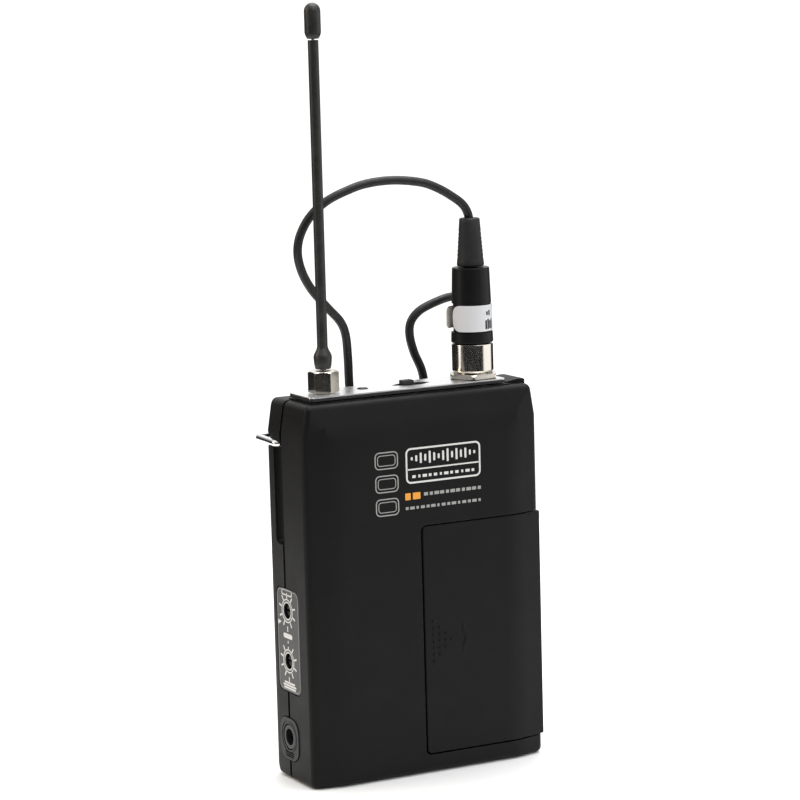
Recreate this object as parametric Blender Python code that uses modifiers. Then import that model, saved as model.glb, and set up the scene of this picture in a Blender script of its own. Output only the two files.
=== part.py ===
"""Lavalier microphone set: a belt-pack transmitter with whip antenna, plugged lead, capsule and tie clip.

Frame: metres, +Z up along the antenna, +Y towards the belt side, origin at the centre of the pack's base.
"""

import math

import bmesh
import bpy
from mathutils import Matrix, Vector

MM = 0.001

# ---------------------------------------------------------------- driving dimensions
GAP = 0.3 * MM                 # air left between pieces that touch
BODY_W = 65.0 * MM             # case, side to side
BODY_D = 23.0 * MM             # case, front to belt side
SHELL_H = 94.4 * MM            # case without its top plate
PLATE_TOP = 96.0 * MM          # upper face of the silver plate
PLATE_T = 1.0 * MM
LEDGE_TOP = PLATE_TOP - PLATE_T - 0.3 * MM
SEAM_Y = 2.8 * MM              # plane where the two shells meet
SEAM_GAP = 0.3 * MM
WALL = 1.6 * MM                # front shell and door
REAR_WALL = 2.2 * MM

FRONT_FLAT_HALF = 24.6 * MM    # half width of the flat part of the front
FRONT_FLAT_TOP = 86.6 * MM     # top of that flat part
FRONT_BEVEL_D = 2.1 * MM       # how far the front's slopes drop back
SIDE_TAPER = 1.3 * MM          # how far each side leans in near the top
TAPER_Z = 86.5 * MM
REAR_CHAMFER_Z = 2.0 * MM
EDGE_R = 0.9 * MM

FEATURE_Y = -1.0 * MM          # row of fittings on the top plate
ANTENNA_X = -22.2 * MM
LED_X = -11.6 * MM
SWITCH_X = 1.85 * MM
SOCKET_X = 19.5 * MM
SWITCH_TRAVEL = 2.4 * MM

DOOR_LEFT = -2.1 * MM
DOOR_LOW = 4.5 * MM
DOOR_HIGH = 62.4 * MM
DOOR_PROUD = 0.5 * MM

CELL_R = 7.25 * MM             # AA cell
CELL_L = 50.5 * MM
CELL_X = (5.7 * MM, 20.8 * MM)
CELL_Y = -1.0 * MM
TRAY_BACK = 7.5 * MM

SIDE_HOLE_Y = 2.2 * MM
TRIMMER_Z = (42.5 * MM, 29.9 * MM)
JACK_Y = 2.8 * MM
JACK_Z = 10.7 * MM
LABEL_CENTRE = (1.8 * MM, 35.1 * MM)
LABEL_HIGH = 25.8 * MM
LABEL_WIDE = 12.0 * MM
SURROUND_CENTRE = (2.8 * MM, 10.2 * MM)
SURROUND_HIGH = 10.6 * MM
SURROUND_WIDE = 10.0 * MM

CLIP_WIRE_R = 0.75 * MM
CLIP_PIVOT = (5.6 * MM, 83.6 * MM)
CLIP_SIDE_X = 32.2 * MM
CLIP_BACK_Y = 16.45 * MM
CLIP_RUN_X = 26.0 * MM
CLIP_FOOT_Z = 30.0 * MM

CORD_R = 1.1 * MM
COIL_CENTRE = (6.0 * MM, 33.5 * MM)
COIL_INNER = 10.6 * MM
COIL_OUTER = 15.4 * MM
COIL_LOW = 0.6 * MM
COIL_HIGH = 9.8 * MM

MIC_X = 32.0 * MM
MIC_Z = 4.8 * MM

BOSS_MEET_Y = 1.2 * MM
SCREWS = ((-27.2 * MM, 88.9 * MM), (27.2 * MM, 88.9 * MM), (-6.0 * MM, 8.5 * MM))


# ---------------------------------------------------------------- scene helpers
def clear_scene():
    for item in list(bpy.data.objects):
        bpy.data.objects.remove(item, do_unlink=True)


def make_collection(name):
    group = bpy.data.collections.new(name)
    bpy.context.scene.collection.children.link(group)
    return group


clear_scene()
PARTS = make_collection("lavalier_microphone")
TOOLS = make_collection("cutters")


def material(name, colour, roughness, metallic=0.0):
    skin = bpy.data.materials.new(name)
    skin.use_nodes = True
    shader = skin.node_tree.nodes["Principled BSDF"]
    shader.inputs["Base Color"].default_value = (*colour, 1.0)
    shader.inputs["Roughness"].default_value = roughness
    shader.inputs["Metallic"].default_value = metallic
    return skin


def place(name, mesh, centre=(0.0, 0.0, 0.0), turn=(0.0, 0.0, 0.0)):
    """A finished object when name is a piece, or a hidden tool when name starts with 'tool'."""
    item = bpy.data.objects.new(name, mesh)
    item.location = centre
    item.rotation_euler = turn
    if name.startswith("tool"):
        TOOLS.objects.link(item)
        item.hide_render = True
        item.display_type = "WIRE"
    else:
        PARTS.objects.link(item)
    return item


def finish_mesh(name, shape, smooth=False):
    mesh = bpy.data.meshes.new(name)
    shape.to_mesh(mesh)
    shape.free()
    if smooth:
        mesh.shade_smooth()
        mesh.set_sharp_from_angle(angle=math.radians(35))
    return mesh


AXIS_TURN = {"Z": (0.0, 0.0, 0.0), "X": (0.0, math.pi / 2, 0.0), "Y": (-math.pi / 2, 0.0, 0.0)}


def box(name, low, high):
    """Block between two corners, given in the object's frame."""
    low = Vector(low)
    high = Vector(high)
    size = high - low
    shape = bmesh.new()
    bmesh.ops.create_cube(shape, size=1.0, matrix=Matrix.Diagonal((*size, 1.0)))
    return place(name, finish_mesh(name, shape), (low + high) / 2)


def rod(name, radius, start, length, axis="Z", segments=28):
    """Round bar from start along +axis."""
    shape = bmesh.new()
    bmesh.ops.create_cone(
        shape,
        cap_ends=True,
        segments=segments,
        radius1=radius,
        radius2=radius,
        depth=length,
        matrix=Matrix.Translation((0.0, 0.0, length / 2)),
    )
    return place(name, finish_mesh(name, shape, smooth=True), start, AXIS_TURN[axis])


def turned(name, profile, base, axis="Z", steps=36, ring=False):
    """Lathe shape. Its profile is (radius, height) from the top down the outer side; a ring's is closed."""
    shape = bmesh.new()
    points = [shape.verts.new((radius, 0.0, height)) for radius, height in profile]
    for first, second in zip(points, points[1:]):
        shape.edges.new((first, second))
    if ring:
        shape.edges.new((points[-1], points[0]))
    item = place(name, finish_mesh(name, shape), base, AXIS_TURN[axis])
    screw = item.modifiers.new("lathe", "SCREW")
    screw.steps = steps
    screw.render_steps = steps
    screw.use_merge_vertices = True
    screw.merge_threshold = 0.00001
    screw.use_smooth_shade = True
    return item


def curve_to_piece(name, line, centre, turn=(0.0, 0.0, 0.0)):
    """Mesh made from a curve's solid, with its caps welded on."""
    draft = place("tool_curve", line, centre, turn)
    bpy.context.view_layer.update()
    solid = bpy.data.meshes.new_from_object(draft.evaluated_get(bpy.context.evaluated_depsgraph_get()))
    solid.name = name
    bpy.data.objects.remove(draft, do_unlink=True)
    shape = bmesh.new()
    shape.from_mesh(solid)
    bmesh.ops.remove_doubles(shape, verts=shape.verts, dist=0.000001)
    shape.to_mesh(solid)
    shape.free()
    return place(name, solid, centre, turn)


def slab(name, outline, thickness, centre, turn=(0.0, 0.0, 0.0)):
    """Flat outline in its own XY plane, extruded both ways from its middle plane."""
    line = bpy.data.curves.new(name, "CURVE")
    line.dimensions = "2D"
    line.fill_mode = "BOTH"
    line.extrude = thickness / 2
    spline = line.splines.new("POLY")
    spline.points.add(len(outline) - 1)
    for point, (across, up) in zip(spline.points, outline):
        point.co = (across, up, 0.0, 1.0)
    spline.use_cyclic_u = True
    return curve_to_piece(name, line, centre, turn)


def wire(name, points, radius, origin=(0.0, 0.0, 0.0)):
    """Round wire through points, which are in the object's frame; origin is where the piece turns."""
    line = bpy.data.curves.new(name, "CURVE")
    line.dimensions = "3D"
    line.bevel_depth = radius
    line.bevel_resolution = 2
    line.use_fill_caps = True
    spline = line.splines.new("POLY")
    spline.points.add(len(points) - 1)
    for point, place_at in zip(spline.points, points):
        point.co = (*(Vector(place_at) - Vector(origin)), 1.0)
    return place(name, line, origin)


def loft(name, sections):
    """Solid through outlines in XZ, each at its own Y, with the same number of corners."""
    shape = bmesh.new()
    rings = [[shape.verts.new((x, y, z)) for x, z in outline] for y, outline in sections]
    for near, far in zip(rings, rings[1:]):
        for index in range(len(near)):
            following = (index + 1) % len(near)
            shape.faces.new((near[index], far[index], far[following], near[following]))
    shape.faces.new(rings[0])
    shape.faces.new(list(reversed(rings[-1])))
    bmesh.ops.recalc_face_normals(shape, faces=shape.faces)
    return place(name, finish_mesh(name, shape))


def combine(target, tool, operation):
    step = target.modifiers.new(operation.lower(), "BOOLEAN")
    step.operation = operation
    step.object = tool
    step.solver = "EXACT"


def cut(target, *tools):
    for tool in tools:
        combine(target, tool, "DIFFERENCE")


def join(target, *tools):
    for tool in tools:
        combine(target, tool, "UNION")


def keep(target, tool):
    combine(target, tool, "INTERSECT")


def soften(target, width, segments=2, angle=35):
    edge = target.modifiers.new("edges", "BEVEL")
    edge.width = width
    edge.segments = segments
    edge.limit_method = "ANGLE"
    edge.angle_limit = math.radians(angle)


def paint(skin, *items):
    for item in items:
        item.data.materials.clear()
        item.data.materials.append(skin)


# ---------------------------------------------------------------- outlines and paths
def rounded_rectangle(width, height, radius):
    steps = 5
    points = []
    corners = ((1, -1, -90), (1, 1, 0), (-1, 1, 90), (-1, -1, 180))
    for side, rise, start in corners:
        for step in range(steps + 1):
            angle = math.radians(start + 90 * step / steps)
            points.append((
                side * (width / 2 - radius) + radius * math.cos(angle),
                rise * (height / 2 - radius) + radius * math.sin(angle),
            ))
    return points


def pointed_oval(length, width):
    """Two shallow arcs that meet in points, as a thumb scoop has."""
    steps = 10
    lower = []
    for step in range(steps):
        along = -1 + 2 * step / steps
        lower.append((along * length / 2, -width / 2 * (1 - along * along)))
    return lower + [(-across, -up) for across, up in lower]


def case_outline(half, low, shoulder, top, taper):
    return [
        (-half, low),
        (half, low),
        (half, shoulder),
        (half - taper, top),
        (taper - half, top),
        (-half, shoulder),
    ]


def smooth_route(points, spacing):
    """Evenly spaced points on a smooth curve through a hand-laid route, whose end runs stay straight."""
    route = [Vector(point) for point in points]
    fine = []
    for before, start, end, after in zip(route, route[1:], route[2:], route[3:]):
        for step in range(24):
            t = step / 24
            fine.append(0.5 * (
                2 * start
                + (end - before) * t
                + (2 * before - 5 * start + 4 * end - after) * t * t
                + (3 * start - before - 3 * end + after) * t ** 3
            ))
    fine.append(route[-2])
    length = sum((b - a).length for a, b in zip(fine, fine[1:]))
    count = max(4, round(length / spacing))
    result = [fine[0]]
    travelled = 0.0
    for a, b in zip(fine, fine[1:]):
        travelled += (b - a).length
        if travelled >= length * len(result) / count and len(result) < count:
            result.append(b)
    return [route[0]] + result + [fine[-1], route[-1]]


def bent_path(corners, steps=5):
    """Straight runs joined by round bends; each corner is (point, bend radius)."""
    path = [Vector(corners[0][0])]
    for index in range(1, len(corners) - 1):
        here = Vector(corners[index][0])
        radius = corners[index][1]
        back = (Vector(corners[index - 1][0]) - here).normalized()
        ahead = (Vector(corners[index + 1][0]) - here).normalized()
        half = back.angle(ahead) / 2
        reach = radius / math.tan(half)
        middle = here + (back + ahead).normalized() * radius / math.sin(half)
        start = here + back * reach - middle
        sweep = math.pi - 2 * half
        axis = start.cross(here + ahead * reach - middle).normalized()
        for step in range(steps + 1):
            turn = Matrix.Rotation(sweep * step / steps, 3, axis)
            path.append(middle + turn @ start)
    path.append(Vector(corners[-1][0]))
    return path


# ---------------------------------------------------------------- materials
BLACK_SHELL = material("black_shell", (0.022, 0.022, 0.024), 0.42)
BLACK_PLASTIC = material("black_plastic", (0.015, 0.015, 0.016), 0.5)
SATIN_PLATE = material("satin_plate", (0.80, 0.81, 0.82), 0.3, 1.0)
NICKEL = material("nickel", (0.72, 0.70, 0.66), 0.14, 1.0)
STEEL = material("steel", (0.60, 0.60, 0.61), 0.28, 1.0)
RUBBER = material("rubber", (0.018, 0.018, 0.019), 0.62)
PAPER = material("paper_label", (0.82, 0.83, 0.84), 0.55)
BOARD_GREEN = material("circuit_board", (0.02, 0.16, 0.06), 0.45)
CELL_SLEEVE = material("cell_sleeve", (0.16, 0.17, 0.19), 0.3)
LENS = material("lens", (0.10, 0.02, 0.02), 0.1)


# ---------------------------------------------------------------- case
def case_blank(name):
    """Outer form of the whole case, before it is split and hollowed."""
    half = BODY_W / 2
    front = -BODY_D / 2
    rear = BODY_D / 2
    full = case_outline(half, 0.0, TAPER_Z, SHELL_H, SIDE_TAPER)
    face = case_outline(FRONT_FLAT_HALF, 0.5 * MM, 84.0 * MM, FRONT_FLAT_TOP, 0.2 * MM)
    back = case_outline(half - 0.8 * MM, REAR_CHAMFER_Z, 86.2 * MM, SHELL_H - 1.0 * MM, SIDE_TAPER)
    blank = loft(name, [
        (front, face),
        (front + FRONT_BEVEL_D, full),
        (rear - 1.9 * MM, full),
        (rear, back),
    ])
    soften(blank, EDGE_R, segments=3, angle=30)
    return blank


def cavity(name, wall, near, far):
    """Hollow of a shell between two Y planes; it follows the front's slopes."""
    half = BODY_W / 2 - wall
    inner = case_outline(half, wall + 0.1 * MM, TAPER_Z - 1.0 * MM, SHELL_H - wall - 0.2 * MM, 1.2 * MM)
    face = case_outline(FRONT_FLAT_HALF - 1.2 * MM, wall + 0.1 * MM, 82.5 * MM, 85.0 * MM, 0.2 * MM)
    front = -BODY_D / 2 + wall
    sections = [(front, face), (front + FRONT_BEVEL_D, inner), (far, inner)]
    if near > front + FRONT_BEVEL_D:
        sections = [(near, inner), (far, inner)]
    return loft(name, sections)


def side_plate(name, high, wide, radius, thickness, x, centre):
    """Rounded plate that faces the left side; centre is its (y, z)."""
    return slab(
        name, rounded_rectangle(high, wide, radius), thickness, (x, *centre), (0.0, math.pi / 2, 0.0),
    )


def side_tools(prefix):
    """Cutters for the openings that both shells share on the left side and the top."""
    tools = []
    left = -BODY_W / 2
    for number, height in enumerate(TRIMMER_Z):
        tools.append(
            rod(f"tool_{prefix}_trim{number}", 1.85 * MM, (left - MM, SIDE_HOLE_Y, height), 4 * MM, "X")
        )
    tools.append(rod(f"tool_{prefix}_jack", 3.3 * MM, (left - MM, JACK_Y, JACK_Z), 4 * MM, "X"))
    tools.append(
        side_plate(
            f"tool_{prefix}_surround",
            SURROUND_HIGH + 0.6 * MM,
            SURROUND_WIDE + 0.6 * MM,
            3.7 * MM,
            1.2 * MM,
            left,
            SURROUND_CENTRE,
        )
    )
    tools.append(
        side_plate(
            f"tool_{prefix}_label",
            LABEL_HIGH + 0.6 * MM,
            LABEL_WIDE + 0.6 * MM,
            2.3 * MM,
            1.1 * MM,
            left,
            LABEL_CENTRE,
        )
    )
    top = SHELL_H - 5 * MM
    tools.append(rod(f"tool_{prefix}_socket", 4.9 * MM, (SOCKET_X, FEATURE_Y, top), 8 * MM))
    return tools


def front_shell():
    shell = case_blank("front_shell")
    edge = SEAM_Y - SEAM_GAP / 2
    keep(shell, box("tool_front_half", (-40 * MM, -20 * MM, -5 * MM), (40 * MM, edge, 110 * MM)))
    cut(shell, cavity("tool_front_hollow", WALL, -20 * MM, 6 * MM))
    for number, (x, z) in enumerate(SCREWS):
        start = -10.5 * MM if z < TAPER_Z else -9.0 * MM
        length = BOSS_MEET_Y - GAP - start
        join(shell, rod(f"tool_front_boss{number}", 2.2 * MM, (x, start, z), length, "Y", 20))
        cut(shell, rod(f"tool_front_pilot{number}", 1.15 * MM, (x, -8 * MM, z), 14 * MM, "Y", 20))
    low = SHELL_H - 0.5 * MM
    join(shell, box("tool_front_ledge", (-28.9 * MM, -7.9 * MM, low), (26.0 * MM, edge, LEDGE_TOP)))
    rise = slab(
        "tool_end_rise",
        [
            (25.8 * MM, low),
            (31.0 * MM, low),
            (31.0 * MM, 95.3 * MM),
            (29.4 * MM, 95.5 * MM),
            (25.8 * MM, 95.0 * MM),
        ],
        edge + 6.6 * MM,
        (0.0, (edge - 6.6 * MM) / 2, 0.0),
        (math.pi / 2, 0.0, 0.0),
    )
    join(shell, rise)
    cut(shell, box(
        "tool_door_opening",
        (DOOR_LEFT, -20 * MM, DOOR_LOW),
        (40 * MM, 6 * MM, DOOR_HIGH),
    ))
    for number, (low_z, high_z) in enumerate(((3.5 * MM, 5 * MM), (62 * MM, 63.4 * MM))):
        cut(
            shell, box(f"tool_rail_slot{number}", (28 * MM, -7.8 * MM, low_z), (40 * MM, -6.0 * MM, high_z)),
        )
    cut(shell, *side_tools("front"))
    stud = (ANTENNA_X, FEATURE_Y, SHELL_H - 5 * MM)
    cut(shell, rod("tool_stud_hole", 2.0 * MM, stud, 8 * MM, "Z", 20))
    cut(shell, rod("tool_led_hole", 1.4 * MM, (LED_X, FEATURE_Y, SHELL_H - 5 * MM), 8 * MM, "Z", 20))
    well = slab(
        "tool_switch_well",
        pointed_oval(11.3 * MM, 5.6 * MM),
        2.0 * MM,
        (SWITCH_X, FEATURE_Y, SHELL_H + 0.6 * MM),
    )
    cut(shell, well)
    cut(shell, box(
        "tool_switch_slot",
        (SWITCH_X - 2.3 * MM, FEATURE_Y - 1.1 * MM, SHELL_H - 5 * MM),
        (SWITCH_X + 2.3 * MM, FEATURE_Y + 1.1 * MM, SHELL_H + MM),
    ))
    paint(BLACK_SHELL, shell)


def clip_groove_tools(side):
    """Groove and notch that take the belt clip's arm on one side; side is -1 or 1."""
    outer = BODY_W / 2
    tag = "left" if side < 0 else "right"
    near = side * (outer - 1.7 * MM)
    far = side * (outer + MM)
    groove = box(
        f"tool_groove_{tag}",
        (min(near, far), SEAM_Y - 2 * MM, 58.8 * MM),
        (max(near, far), 6.9 * MM, 84.0 * MM),
    )
    soften(groove, 1.6 * MM, 3)
    y, z = CLIP_PIVOT
    notch_half = 1.05 * MM
    wedge = [
        (y - 1.3 * MM, z - notch_half),
        (y + 7 * MM, z - notch_half),
        (y + 7 * MM, z + notch_half + 1.9 * MM),
        (y + 0.3 * MM, z + notch_half + 0.15 * MM),
        (y - 1.3 * MM, z + notch_half),
    ]
    depth = 1.35 * MM
    centre = (side * (outer + MM - (depth + MM) / 2), 0.0, 0.0)
    notch = slab(f"tool_notch_{tag}", wedge, depth + MM, centre, (math.pi / 2, 0.0, math.pi / 2))
    hole = rod(f"tool_pivot_{tag}", 1.05 * MM, (side * 28.5 * MM - 3.5 * MM, y, z), 7 * MM, "X", 20)
    return groove, notch, hole


def rear_shell():
    shell = case_blank("rear_shell")
    edge = SEAM_Y + SEAM_GAP / 2
    keep(shell, box("tool_rear_half", (-40 * MM, edge, -5 * MM), (40 * MM, 20 * MM, 110 * MM)))
    cut(shell, cavity("tool_rear_hollow", REAR_WALL, 0.0, BODY_D / 2 - 2.0 * MM))
    lip_wall = WALL + 0.4 * MM
    lip = cavity("tool_lip", lip_wall, 1.2 * MM, 5.0 * MM)
    cut(lip, cavity("tool_lip_hollow", lip_wall + 0.8 * MM, 0.5 * MM, 6.0 * MM))
    join(shell, lip)
    for side in (-1, 1):
        tag = "left" if side < 0 else "right"
        inner = side * (28.8 * MM if side < 0 else 29.8 * MM)
        outer = side * 30.6 * MM
        join(shell, box(
            f"tool_groove_back_{tag}",
            (min(inner, outer), SEAM_Y + 0.5 * MM, 57.4 * MM),
            (max(inner, outer), 8.6 * MM, 86.6 * MM),
        ))
        near = side * 27.0 * MM
        join(shell, box(
            f"tool_pivot_block_{tag}",
            (min(near, outer), 3.4 * MM, 81.0 * MM),
            (max(near, outer), 9.8 * MM, 86.6 * MM),
        ))
        cut(shell, *clip_groove_tools(side))
    for number, (x, z) in enumerate(SCREWS):
        join(shell, rod(f"tool_rear_boss{number}", 2.2 * MM, (x, BOSS_MEET_Y, z), 8.7 * MM, "Y", 20))
        cut(shell, rod(f"tool_rear_pass{number}", 1.2 * MM, (x, 0.0, z), 14 * MM, "Y", 20))
        cut(shell, rod(f"tool_rear_sink{number}", 2.2 * MM, (x, BODY_D / 2 - 1.4 * MM, z), 4 * MM, "Y", 20))
    low = SHELL_H - 0.5 * MM
    join(shell, box("tool_rear_ledge", (-28.9 * MM, edge, low), (26.0 * MM, 4.8 * MM, LEDGE_TOP)))
    cut(shell, *side_tools("rear"))
    paint(BLACK_SHELL, shell)


def battery_door():
    """Sliding door that wraps round the right-hand edge; it draws off towards +X."""
    half = BODY_W / 2 + DOOR_PROUD
    front = -BODY_D / 2
    edge = SEAM_Y - SEAM_GAP / 2 - 0.25 * MM
    low = DOOR_LOW + GAP
    high = DOOR_HIGH - GAP
    left = DOOR_LEFT + GAP + 0.2 * MM

    def wedge_outline(reach):
        return [(left, low), (reach, low), (reach, high), (left, high)]

    door = loft("battery_door", [
        (front, wedge_outline(FRONT_FLAT_HALF)),
        (front + FRONT_BEVEL_D, wedge_outline(half)),
        (edge, wedge_outline(half)),
    ])
    soften(door, 0.35 * MM, 2, 30)
    inner = half - WALL - 0.2 * MM
    hollow = loft("tool_door_hollow", [
        (
            front + WALL,
            [(-20 * MM, -5 * MM), (23.4 * MM, -5 * MM), (23.4 * MM, 90 * MM), (-20 * MM, 90 * MM)],
        ),
        (
            front + WALL + FRONT_BEVEL_D,
            [(-20 * MM, -5 * MM), (inner, -5 * MM), (inner, 90 * MM), (-20 * MM, 90 * MM)],
        ),
        (20 * MM, [(-20 * MM, -5 * MM), (inner, -5 * MM), (inner, 90 * MM), (-20 * MM, 90 * MM)]),
    ])
    cut(door, hollow)
    web_back = -6.4 * MM
    rail = 0.75 * MM
    for tag, web_low, web_high, rail_low, rail_high in (
        ("low", low, low + 1.0 * MM, low - rail, low + 0.5 * MM),
        ("high", high - 1.0 * MM, high, high - 0.5 * MM, high + rail),
    ):
        join(
            door,
            box(
                f"tool_door_web_{tag}",
                (0.5 * MM, front + WALL - 0.4 * MM, web_low),
                (29.5 * MM, web_back, web_high),
            ),
        )
        join(
            door,
            box(
                f"tool_door_rail_{tag}",
                (0.5 * MM, web_back - 1.0 * MM, rail_low),
                (29.5 * MM, web_back, rail_high),
            ),
        )
    join(door, box(
        "tool_door_tongue",
        (DOOR_LEFT - 1.6 * MM, front + WALL + GAP, 20 * MM),
        (left + 1.5 * MM, front + WALL + GAP + 0.8 * MM, 47 * MM),
    ))
    join(door, box(
        "tool_tongue_root",
        (left + 0.2 * MM, front + WALL - 0.4 * MM, 20 * MM),
        (left + 1.5 * MM, front + WALL + GAP + 0.4 * MM, 47 * MM),
    ))
    pitch = 1.7 * MM
    for column in range(4):
        count = 7 - 2 * column
        for row in range(count):
            height = 33.1 * MM + (row - (count - 1) / 2) * pitch
            join(door, rod(
                f"tool_dot_{column}_{row}",
                0.5 * MM,
                (0.9 * MM + column * pitch, front + 0.3 * MM, height),
                -0.55 * MM,
                "Y",
                10,
            ))
    paint(BLACK_SHELL, door)


def top_plate():
    centre = (-1.95 * MM, -1.55 * MM, PLATE_TOP - PLATE_T / 2)
    plate = slab("top_plate", rounded_rectangle(54.3 * MM, 11.9 * MM, 1.0 * MM), PLATE_T, centre)
    deep = PLATE_TOP - 3 * MM
    cut(plate, rod("tool_plate_stud", 2.0 * MM, (ANTENNA_X, FEATURE_Y, deep), 6 * MM, "Z", 24))
    cut(plate, rod("tool_plate_led", 1.35 * MM, (LED_X, FEATURE_Y, deep), 6 * MM, "Z", 24))
    cut(plate, rod("tool_plate_socket", 4.9 * MM, (SOCKET_X, FEATURE_Y, deep), 6 * MM))
    cut(plate, slab(
        "tool_plate_scoop",
        pointed_oval(10.7 * MM, 5.0 * MM),
        4 * MM,
        (SWITCH_X, FEATURE_Y, PLATE_TOP),
    ))
    paint(SATIN_PLATE, plate)


def case_screws():
    profile = [(0.0, 0.0), (1.85 * MM, 0.0), (1.85 * MM, -0.5 * MM), (0.85 * MM, -0.8 * MM)]
    profile += [(0.85 * MM, -13.0 * MM), (0.4 * MM, -13.8 * MM), (0.0, -13.8 * MM)]
    for number, (x, z) in enumerate(SCREWS, start=1):
        head_y = BODY_D / 2 - 0.3 * MM
        screw = turned(f"case_screw_{number}", profile, (x, head_y, z), "Y", 16)
        for turn, across in enumerate(((1.1, 0.3), (0.3, 1.1))):
            slot = box(
                f"tool_screw_slot{number}_{turn}",
                (x - across[0] * MM, head_y - 0.45 * MM, z - across[1] * MM),
                (x + across[0] * MM, head_y + MM, z + across[1] * MM),
            )
            cut(screw, slot)
        paint(STEEL, screw)


# ---------------------------------------------------------------- inside the case
def battery_tray():
    low = 4.0 * MM
    high = 62.8 * MM
    left = -3.0 * MM
    right = 29.4 * MM
    back = TRAY_BACK
    tray = box("battery_tray", (left, -7.6 * MM, low), (right, back, high))
    cut(
        tray,
        box(
            "tool_tray_bay", (left + 1.1 * MM, -20 * MM, low + MM), (right - 1.1 * MM, back - MM, high - MM),
        ),
    )
    for tag, start, end in (("low", low - MM, low + 2 * MM), ("high", high - 2 * MM, high + MM)):
        cut(tray, box(f"tool_tray_{tag}", (left - MM, -20 * MM, start), (right + MM, -6.0 * MM, end)))
    divider = (CELL_X[0] + CELL_X[1]) / 2
    join(
        tray,
        box(
            "tool_tray_rib",
            (divider - 0.4 * MM, back - 3.1 * MM, low + 0.5 * MM),
            (divider + 0.4 * MM, back - 0.5 * MM, high - 0.5 * MM),
        ),
    )
    paint(BLACK_PLASTIC, tray)


def batteries():
    nub = 1.0 * MM
    profile = [
        (0.0, CELL_L),
        (2.6 * MM, CELL_L),
        (2.6 * MM, CELL_L - nub),
        (CELL_R - 0.5 * MM, CELL_L - nub),
        (CELL_R, CELL_L - nub - 0.5 * MM),
        (CELL_R, 0.4 * MM),
        (CELL_R - 0.4 * MM, 0.0),
        (0.0, 0.0),
    ]
    upright = turned("battery_left", profile, (CELL_X[0], CELL_Y, 9.1 * MM), steps=28)
    inverted = turned("battery_right", profile, (CELL_X[1], CELL_Y, 56.5 * MM), steps=28)
    inverted.rotation_euler = (math.pi, 0.0, 0.0)
    paint(CELL_SLEEVE, upright, inverted)


def contact_spring(name, x, wide_z, narrow_z):
    """Conical coil; it is widest where it sits on its contact plate."""
    points = []
    turns = 2.8
    count = round(turns * 10)
    for step in range(count + 1):
        part = step / count
        angle = 2 * math.pi * turns * part
        radius = (4.2 - 1.8 * part) * MM
        height = wide_z + (narrow_z - wide_z) * part
        points.append((x + radius * math.cos(angle), CELL_Y + radius * math.sin(angle), height))
    spring = wire(name, points, 0.3 * MM, (x, CELL_Y, wide_z))
    paint(NICKEL, spring)


def battery_contacts():
    near = CELL_Y - 3.8 * MM
    far = CELL_Y + 4.0 * MM
    link = box("contact_link", (0.0, near, 5.3 * MM), (26.5 * MM, far, 5.7 * MM))
    plus = box("contact_positive", (1.5 * MM, near, 59.9 * MM), (9.9 * MM, far, 60.3 * MM))
    minus = box("contact_negative", (15.7 * MM, near, 60.1 * MM), (25.9 * MM, far, 60.5 * MM))
    paint(NICKEL, link, plus, minus)
    contact_spring("spring_lower", CELL_X[0], 6.3 * MM, 8.5 * MM)
    contact_spring("spring_upper", CELL_X[1], 59.5 * MM, 57.1 * MM)


def main_board():
    """Circuit board with its larger components soldered on."""
    face = 5.7 * MM
    board = box("main_board", (-28.0 * MM, face, 4.0 * MM), (-9.2 * MM, face + 1.2 * MM, 80.0 * MM))
    chips = (
        (-20.0, 54.0, 7.0, 7.0, 1.2),
        (-14.5, 44.0, 5.0, 4.4, 1.4),
        (-15.0, 34.0, 4.4, 4.4, 4.8),
        (-15.0, 24.0, 6.4, 3.2, 2.0),
        (-12.5, 15.0, 3.4, 5.0, 2.6),
        (-22.5, 22.0, 3.0, 3.0, 1.6),
    )
    for number, (x, z, width, height, depth) in enumerate(chips):
        join(board, box(
            f"tool_chip{number}",
            ((x - width / 2) * MM, face - depth * MM, (z - height / 2) * MM),
            ((x + width / 2) * MM, face + 0.3 * MM, (z + height / 2) * MM),
        ))
    cut(board, rod("tool_board_notch", 2.5 * MM, (SCREWS[2][0], 0.0, SCREWS[2][1]), 12 * MM, "Y", 20))
    can = box("rf_shield", (-26.0 * MM, 1.6 * MM, 60.0 * MM), (-10.5 * MM, face - GAP, 78.0 * MM))
    cut(can, box("tool_can_hollow", (-25.6 * MM, 2.0 * MM, 60.4 * MM), (-10.9 * MM, 8 * MM, 77.6 * MM)))
    paint(BOARD_GREEN, board)
    paint(STEEL, can)


def trimmers():
    """Two screwdriver trimmers reached through the left side."""
    for tag, height in zip(("upper", "lower"), TRIMMER_Z):
        body = box(
            f"trimmer_body_{tag}",
            (-29.3 * MM, SIDE_HOLE_Y - 3.0 * MM, height - 3.0 * MM),
            (-24.5 * MM, SIDE_HOLE_Y + 3.0 * MM, height + 3.0 * MM),
        )
        cut(
            body, rod(f"tool_trim_bore_{tag}", 1.1 * MM, (-30 * MM, SIDE_HOLE_Y, height), 3.2 * MM, "X", 20),
        )
        profile = [
            (0.0, 3.9 * MM),
            (0.8 * MM, 3.9 * MM),
            (0.8 * MM, 2.0 * MM),
            (1.55 * MM, 2.0 * MM),
            (1.55 * MM, 0.0),
            (0.0, 0.0),
        ]
        rotor = turned(f"trimmer_rotor_{tag}", profile, (-31.8 * MM, SIDE_HOLE_Y, height), "X", 20)
        cut(rotor, box(
            f"tool_rotor_slot_{tag}",
            (-33 * MM, SIDE_HOLE_Y - 2 * MM, height - 0.28 * MM),
            (-31.1 * MM, SIDE_HOLE_Y + 2 * MM, height + 0.28 * MM),
        ))
        paint(BLACK_PLASTIC, body, rotor)


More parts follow.
